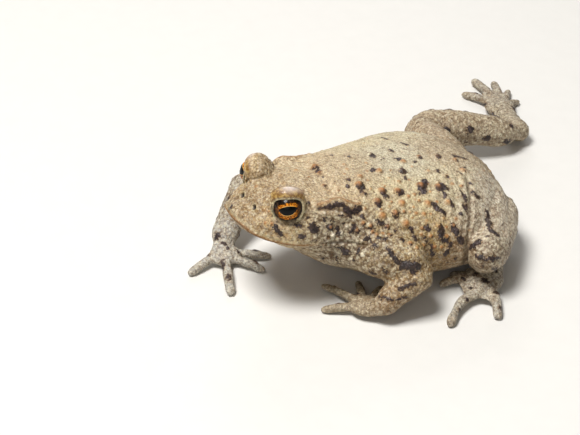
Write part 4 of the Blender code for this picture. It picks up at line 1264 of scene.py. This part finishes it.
def noise(size, detail=3.0, rough=0.55):
    """Soft noise whose grains are about a size across, in millimetres."""
    return add(tree, "ShaderNodeTexNoise", {
        "Vector": place, "Scale": PER_METRE / size, "Detail": detail, "Roughness": rough,
    })


def grains(size, inputs=None, **settings):
    """Distance to the middle of the nearest of grains about a size across."""
    inputs = {"Vector": place, "Scale": PER_METRE / size, **(inputs or {})}
    return add(tree, "ShaderNodeTexVoronoi", inputs, **settings)


def share(value, low, high):
    """Part of the way from a low to a high value, held between nought and one."""
    return add(tree, "ShaderNodeMapRange", {
        "Value": value, "From Min": low, "From Max": high,
    }, interpolation_type="SMOOTHSTEP")


def pattern(size, low, high, *roughness):
    """Share of a noise between two of its values."""
    return share(noise(size, *roughness), low, high)


def sums(operation, first, second=0.0):
    """One sum on one or two values."""
    return add(tree, "ShaderNodeMath", {0: first, 1: second}, operation=operation)


def times(first, second):
    """Product of two values."""
    return sums("MULTIPLY", first, second)


def plus(first, second):
    """Two values added."""
    return sums("ADD", first, second)


def sway(size, *roughness):
    """Noise less its middle value."""
    return sums("SUBTRACT", noise(size, *roughness), 0.5)


def shade(colour):
    """Colour for a node: an sRGB hex code's own, or another node's output as it is."""
    return (*linear(colour), 1.0) if isinstance(colour, str) else colour


def mix(factor, first, second, blend="MIX"):
    """Colour between two colours, each a hex code or a node's output."""
    return add(tree, "ShaderNodeMix", {
        "Factor": factor, 6: shade(first), 7: shade(second),
    }, output=2, data_type="RGBA", blend_type=blend)


def field(name, output="Fac"):
    """One of the piece's own attributes."""
    return add(tree, "ShaderNodeAttribute", output=output, attribute_name=name)


strength = field("mottled")
colour = field("tone", "Color")
grain = grains(GRAIN_SIZE)
for amount, spots, code in (
    (0.75, pattern(*PATCH), "#7d5f35"),
    (0.75, pattern(*MOTTLE), "#f0e7cf"),
    (0.95, pattern(*DAPPLE), "#60431f"),
    # Grain rims darker and tops lighter along the relief's grains: own colour, painted shade and light.
    (0.7, share(grain, *GRAIN_RIM_SHADE), "#5c4323"),
    (0.35, share(grain, *GRAIN_TOP_LIGHT), "#efe6cf"),
):
    colour = mix(times(times(strength, amount), spots), colour, code)
speck = times(share(grains(SPECK_SIZE), *SPECK_EDGE), pattern(*SPECK_GROUND))
colour = mix(times(speck, 0.75), colour, "#5c4124")
colour = mix(0.45, colour, mix(pattern(*FINE_GRAIN), "#6b5130", "#fff8e2"), "OVERLAY")
uneven = plus(times(sway(*FRAY), FRAY_DEPTH),
              times(sway(*FINE_FRAY), plus(FINE_FRAY_DEPTH[0], times(strength, FINE_FRAY_DEPTH[1]))))
ragged = plus(field("blotch"), uneven)
core = share(ragged, *CORE)
black = mix(pattern(*BLACK), "#21181b", "#5a4846")
black = mix(times(pattern(*BROWN), 0.6), black, "#44301f")
black = mix(times(strength, 0.55), black, "#1c1310")
top = share(field("russet"), *WART_TOP)
for amount, spots, paint_colour in (
    # painted highlight on granule tops, and the pale warts' own tops
    (0.6, field("crest_light_and_pale_wart"), "#ebe3cf"),
    # painted shade in the creases, between the granules and under the glands
    (0.9, field("painted_shade"), "#463119"),
    (0.9, field("russet"), mix(pattern(*TAN), "#7d4f22", "#b58345")),
    (0.5, share(ragged, *FRINGE), "#6a4b28"),
    (0.97, core, black),
    (0.85, times(top, core), mix(pattern(*HORN), "#5d3a26", "#9a6c49")),
    # tan wart tops, partly a painted highlight
    (0.75, field("tip"), "#bb8450"),
    # the pad's own gold, partly a painted sheen
    (0.85, field("gold"), mix(pattern(*SHEEN), "#704a12", "#a9863c")),
    # painted highlight on the upper lid's pad
    (0.7, field("painted_glint"), "#ddd0c8"),
    (0.85, field("ring"), "#bdb48e"),
    (0.85, field("lip"), "#7c5223"),
    # painted shade in the lids' grooves, creases and margins and in the nostril pits
    (1.0, field("dark"), "#130d08"),
):
    colour = mix(times(spots, amount), colour, paint_colour)
tree.links.new(colour, surface.inputs["Base Color"])
pimples = grains(PIMPLE_SIZE, {"Smoothness": PIMPLE_SOFTNESS}, feature="SMOOTH_F1")
relief = plus(plus(times(grain, RELIEF[0]), times(pimples, RELIEF[1])),
              times(noise(*RELIEF_GRAIN), RELIEF[2]))
calm = sums("SUBTRACT", 1.0, sums("MAXIMUM", field("gold"), field("dark")))
relief_normal = add(tree, "ShaderNodeBump", {
    "Height": times(relief, calm), "Strength": 1.0, "Distance": RELIEF_DEPTH,
}, output="Normal")
tree.links.new(relief_normal, surface.inputs["Normal"])
damp = sums("MAXIMUM", times(core, DAMP), times(top, DAMP))
wet = sums("MAXIMUM", sums("MAXIMUM", field("gold"), field("ring")), damp)
dull = plus(DULL[0], times(noise(DULL_SIZE), DULL[1]))
rough = add(tree, "ShaderNodeMix", {"Factor": wet, 2: dull, 3: WET}, data_type="FLOAT")
tree.links.new(rough, surface.inputs["Roughness"])
skin.data.materials.clear()
skin.data.materials.append(toad_skin)
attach(skin, "root")
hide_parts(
    "head", "torso",
    "upper_arm_left", "forearm_left", "hand_left", "upper_arm_right", "forearm_right",
    "hand_right", "thigh_left", "shank_left", "foot_left", "thigh_right", "shank_right",
    "foot_right",
)

# Eyes: a wet ball that bulges in front, as the clear cornea does, over a copper iris. The
# pupil is a level slit with a thin gold rim, and a black ring rings the iris up to the lids:
# the eye's own dark rim, deepened with painted shade under the lids.
CORNEA_BULGE = 0.5
CORNEA_WIDTH = 0.75
# Half width, height above and height below the widest line, and that line's height.
PUPIL = (2.35, 0.9, 1.5, 0.5)
IRIS = (3.0, 1.95, 2.2, -0.1)
# How far the pupil and the iris dip towards the snout, and how sharp the pupil's ends are.
DIP = 0.09
OVAL_POWER = 2.2
PUPIL_POWER = 1.35
# How far each eye's pupil and iris are turned forward and up in the opening.
LOOK = {1: (0.0, 0.0), -1: (1.1, 0.8)}
# Patterns of noise, as on the skin: copper, gold and black specks in it, and the dark ring.
COPPER = (0.5, 0.4, 0.6, 4.0, 0.7)
GOLD_SPECKS = (0.3, 0.58, 0.68, 3.0, 0.7)
BLACK_SPECKS = (0.38, 0.5, 0.57, 4.0, 0.75)
DARK_RIM_AND_SHADE = (0.5, 0.5, 0.62, 4.0)
# Size and depth of the noise on the edges of the pupil and the iris, and where each ends.
PUPIL_FRAY = (0.5, 0.1)
PUPIL_EDGE = (1.05, 1.0)
GOLD_EDGE = (1.13, 1.06)
IRIS_FRAY = (0.6, 0.3)
IRIS_EDGE = (1.06, 1.2)
# How far aside the iris darkens and the gold rim ends.
DARK_ENDS = (2.0, 2.7)
GOLD_MIDDLE = (2.1, 1.2)
BALL_GRID = (90, 120)

toad_eye, tree, surface = finish("toad_eye", {
    "Roughness": 0.35, "IOR": 1.38, "Specular IOR Level": 0.1, "Coat Weight": 0.35,
    "Coat Roughness": 0.03, "Coat IOR": 1.38,
})
place = add(tree, "ShaderNodeTexCoord", output="Object")
across = field("across")
over = field("over")


def oval(width, above, below, rise, power=2.0):
    """Distance from an oval's middle over its size in that direction, above and below."""
    high = plus(sums("SUBTRACT", over, rise), times(across, DIP))
    size = add(tree, "ShaderNodeMix", {
        "Factor": sums("GREATER_THAN", high, 0.0), 2: below, 3: above,
    }, data_type="FLOAT")
    flat = sums("POWER", sums("ABSOLUTE", sums("DIVIDE", across, width)), OVAL_POWER)
    tall = sums("POWER", sums("ABSOLUTE", sums("DIVIDE", high, size)), power)
    return sums("SQRT", plus(flat, tall))


pupil = plus(oval(*PUPIL, PUPIL_POWER), times(sway(PUPIL_FRAY[0]), PUPIL_FRAY[1]))
iris = plus(oval(*IRIS), times(sway(IRIS_FRAY[0]), IRIS_FRAY[1]))
aside = sums("ABSOLUTE", across)
copper = mix(pattern(*COPPER), "#96480a", "#ea9018")
copper = mix(pattern(*GOLD_SPECKS), copper, "#fbc65c")
copper = mix(pattern(*BLACK_SPECKS), copper, "#1e0c04")
copper = mix(times(share(aside, *DARK_ENDS), 0.85), copper, "#1d0d05")
colour = mix(times(share(pupil, *GOLD_EDGE), share(aside, *GOLD_MIDDLE)), copper, "#e2b76a")
colour = mix(share(pupil, *PUPIL_EDGE), colour, "#000000")
dark_rim_and_shade = mix(pattern(*DARK_RIM_AND_SHADE), "#070504", "#3a2a1c")
colour = mix(share(iris, *IRIS_EDGE), colour, dark_rim_and_shade)
tree.links.new(colour, surface.inputs["Base Color"])
for side, name in ((1, "left"), (-1, "right")):
    centre = sided(side, EYE_PLACE)
    axes = eye_axes(side)
    polar = np.linspace(POLE_GAP, math.pi - POLE_GAP, BALL_GRID[0])
    radii = EYE_RADIUS + CORNEA_BULGE * bell(polar, CORNEA_WIDTH, 4)
    ball = globe(centre, axes, radii[:, None, None], *BALL_GRID)
    eye = grid_mesh("eye_" + name + "_ball", [ball])
    offset = read(eye.data.vertices, "co", 3) - centre
    forward, up = LOOK[side]
    paint(eye, "across", side * (offset @ axes[1]) - forward)
    paint(eye, "over", offset @ axes[2] - up)
    reshape(eye, (offset + centre + TO_ROW) * MILLIMETRE)
    eye.data.shade_smooth()
    eye.data.materials.append(toad_eye)
    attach(eye, "root")
    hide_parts("eye_" + name)

# Floor: a plain pale board, painted matt, that the toad rests on.
FLOOR_HALF = 1.5
FLOOR_DROP = 0.00003

painted_board, tree, surface = finish("painted_board", {"Roughness": 0.75})
place = add(tree, "ShaderNodeTexCoord", output="Object")
tree.links.new(mix(noise(6.0), "#d9d6d0", "#dedbd5"), surface.inputs["Base Color"])
corners = [(-1, -1), (1, -1), (1, 1), (-1, 1)]
floor_mesh = bpy.data.meshes.new("floor")
floor_mesh.from_pydata([(x * FLOOR_HALF, y * FLOOR_HALF, -FLOOR_DROP) for x, y in corners],
                       [], [(0, 1, 2, 3)])
floor = placed("floor", floor_mesh)
floor.data.materials.append(painted_board)
floor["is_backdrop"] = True

# Studio light: a soft box overhead and in front, a weak one by the camera, a slim one
# from the far side for the edges, and an even pale surround.
LAMPS = [
    ("key", (0.0, -0.3, 0.8), 0.3, 9.0),
    ("fill", (0.6, -0.5, 0.35), 0.5, 0.9),
    ("edge", (-0.6, 0.3, 0.4), 0.3, 1.2),
]
SURROUND = (1.0, 0.98, 0.95, 1.0)
SURROUND_STRENGTH = 0.18
for name, spot, size, watts in LAMPS:
    lamp = placed(name, bpy.data.lights.new(name, "AREA"))
    lamp.data.size = size
    lamp.data.energy = watts
    lamp.location = spot
    lamp.rotation_mode = "QUATERNION"
    lamp.rotation_quaternion = (-Vector(spot)).to_track_quat("-Z", "Y")
world = bpy.data.worlds.new("surround")
bpy.context.scene.world = world
world.use_nodes = True
background = world.node_tree.nodes["Background"]
background.inputs["Color"].default_value = SURROUND
background.inputs["Strength"].default_value = SURROUND_STRENGTH
bpy.context.scene.view_settings.view_transform = "Standard"

boxes = {"cad": cad_box, "visual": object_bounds()}
{key: [list(corner) for corner in box] for key, box in boxes.items()}
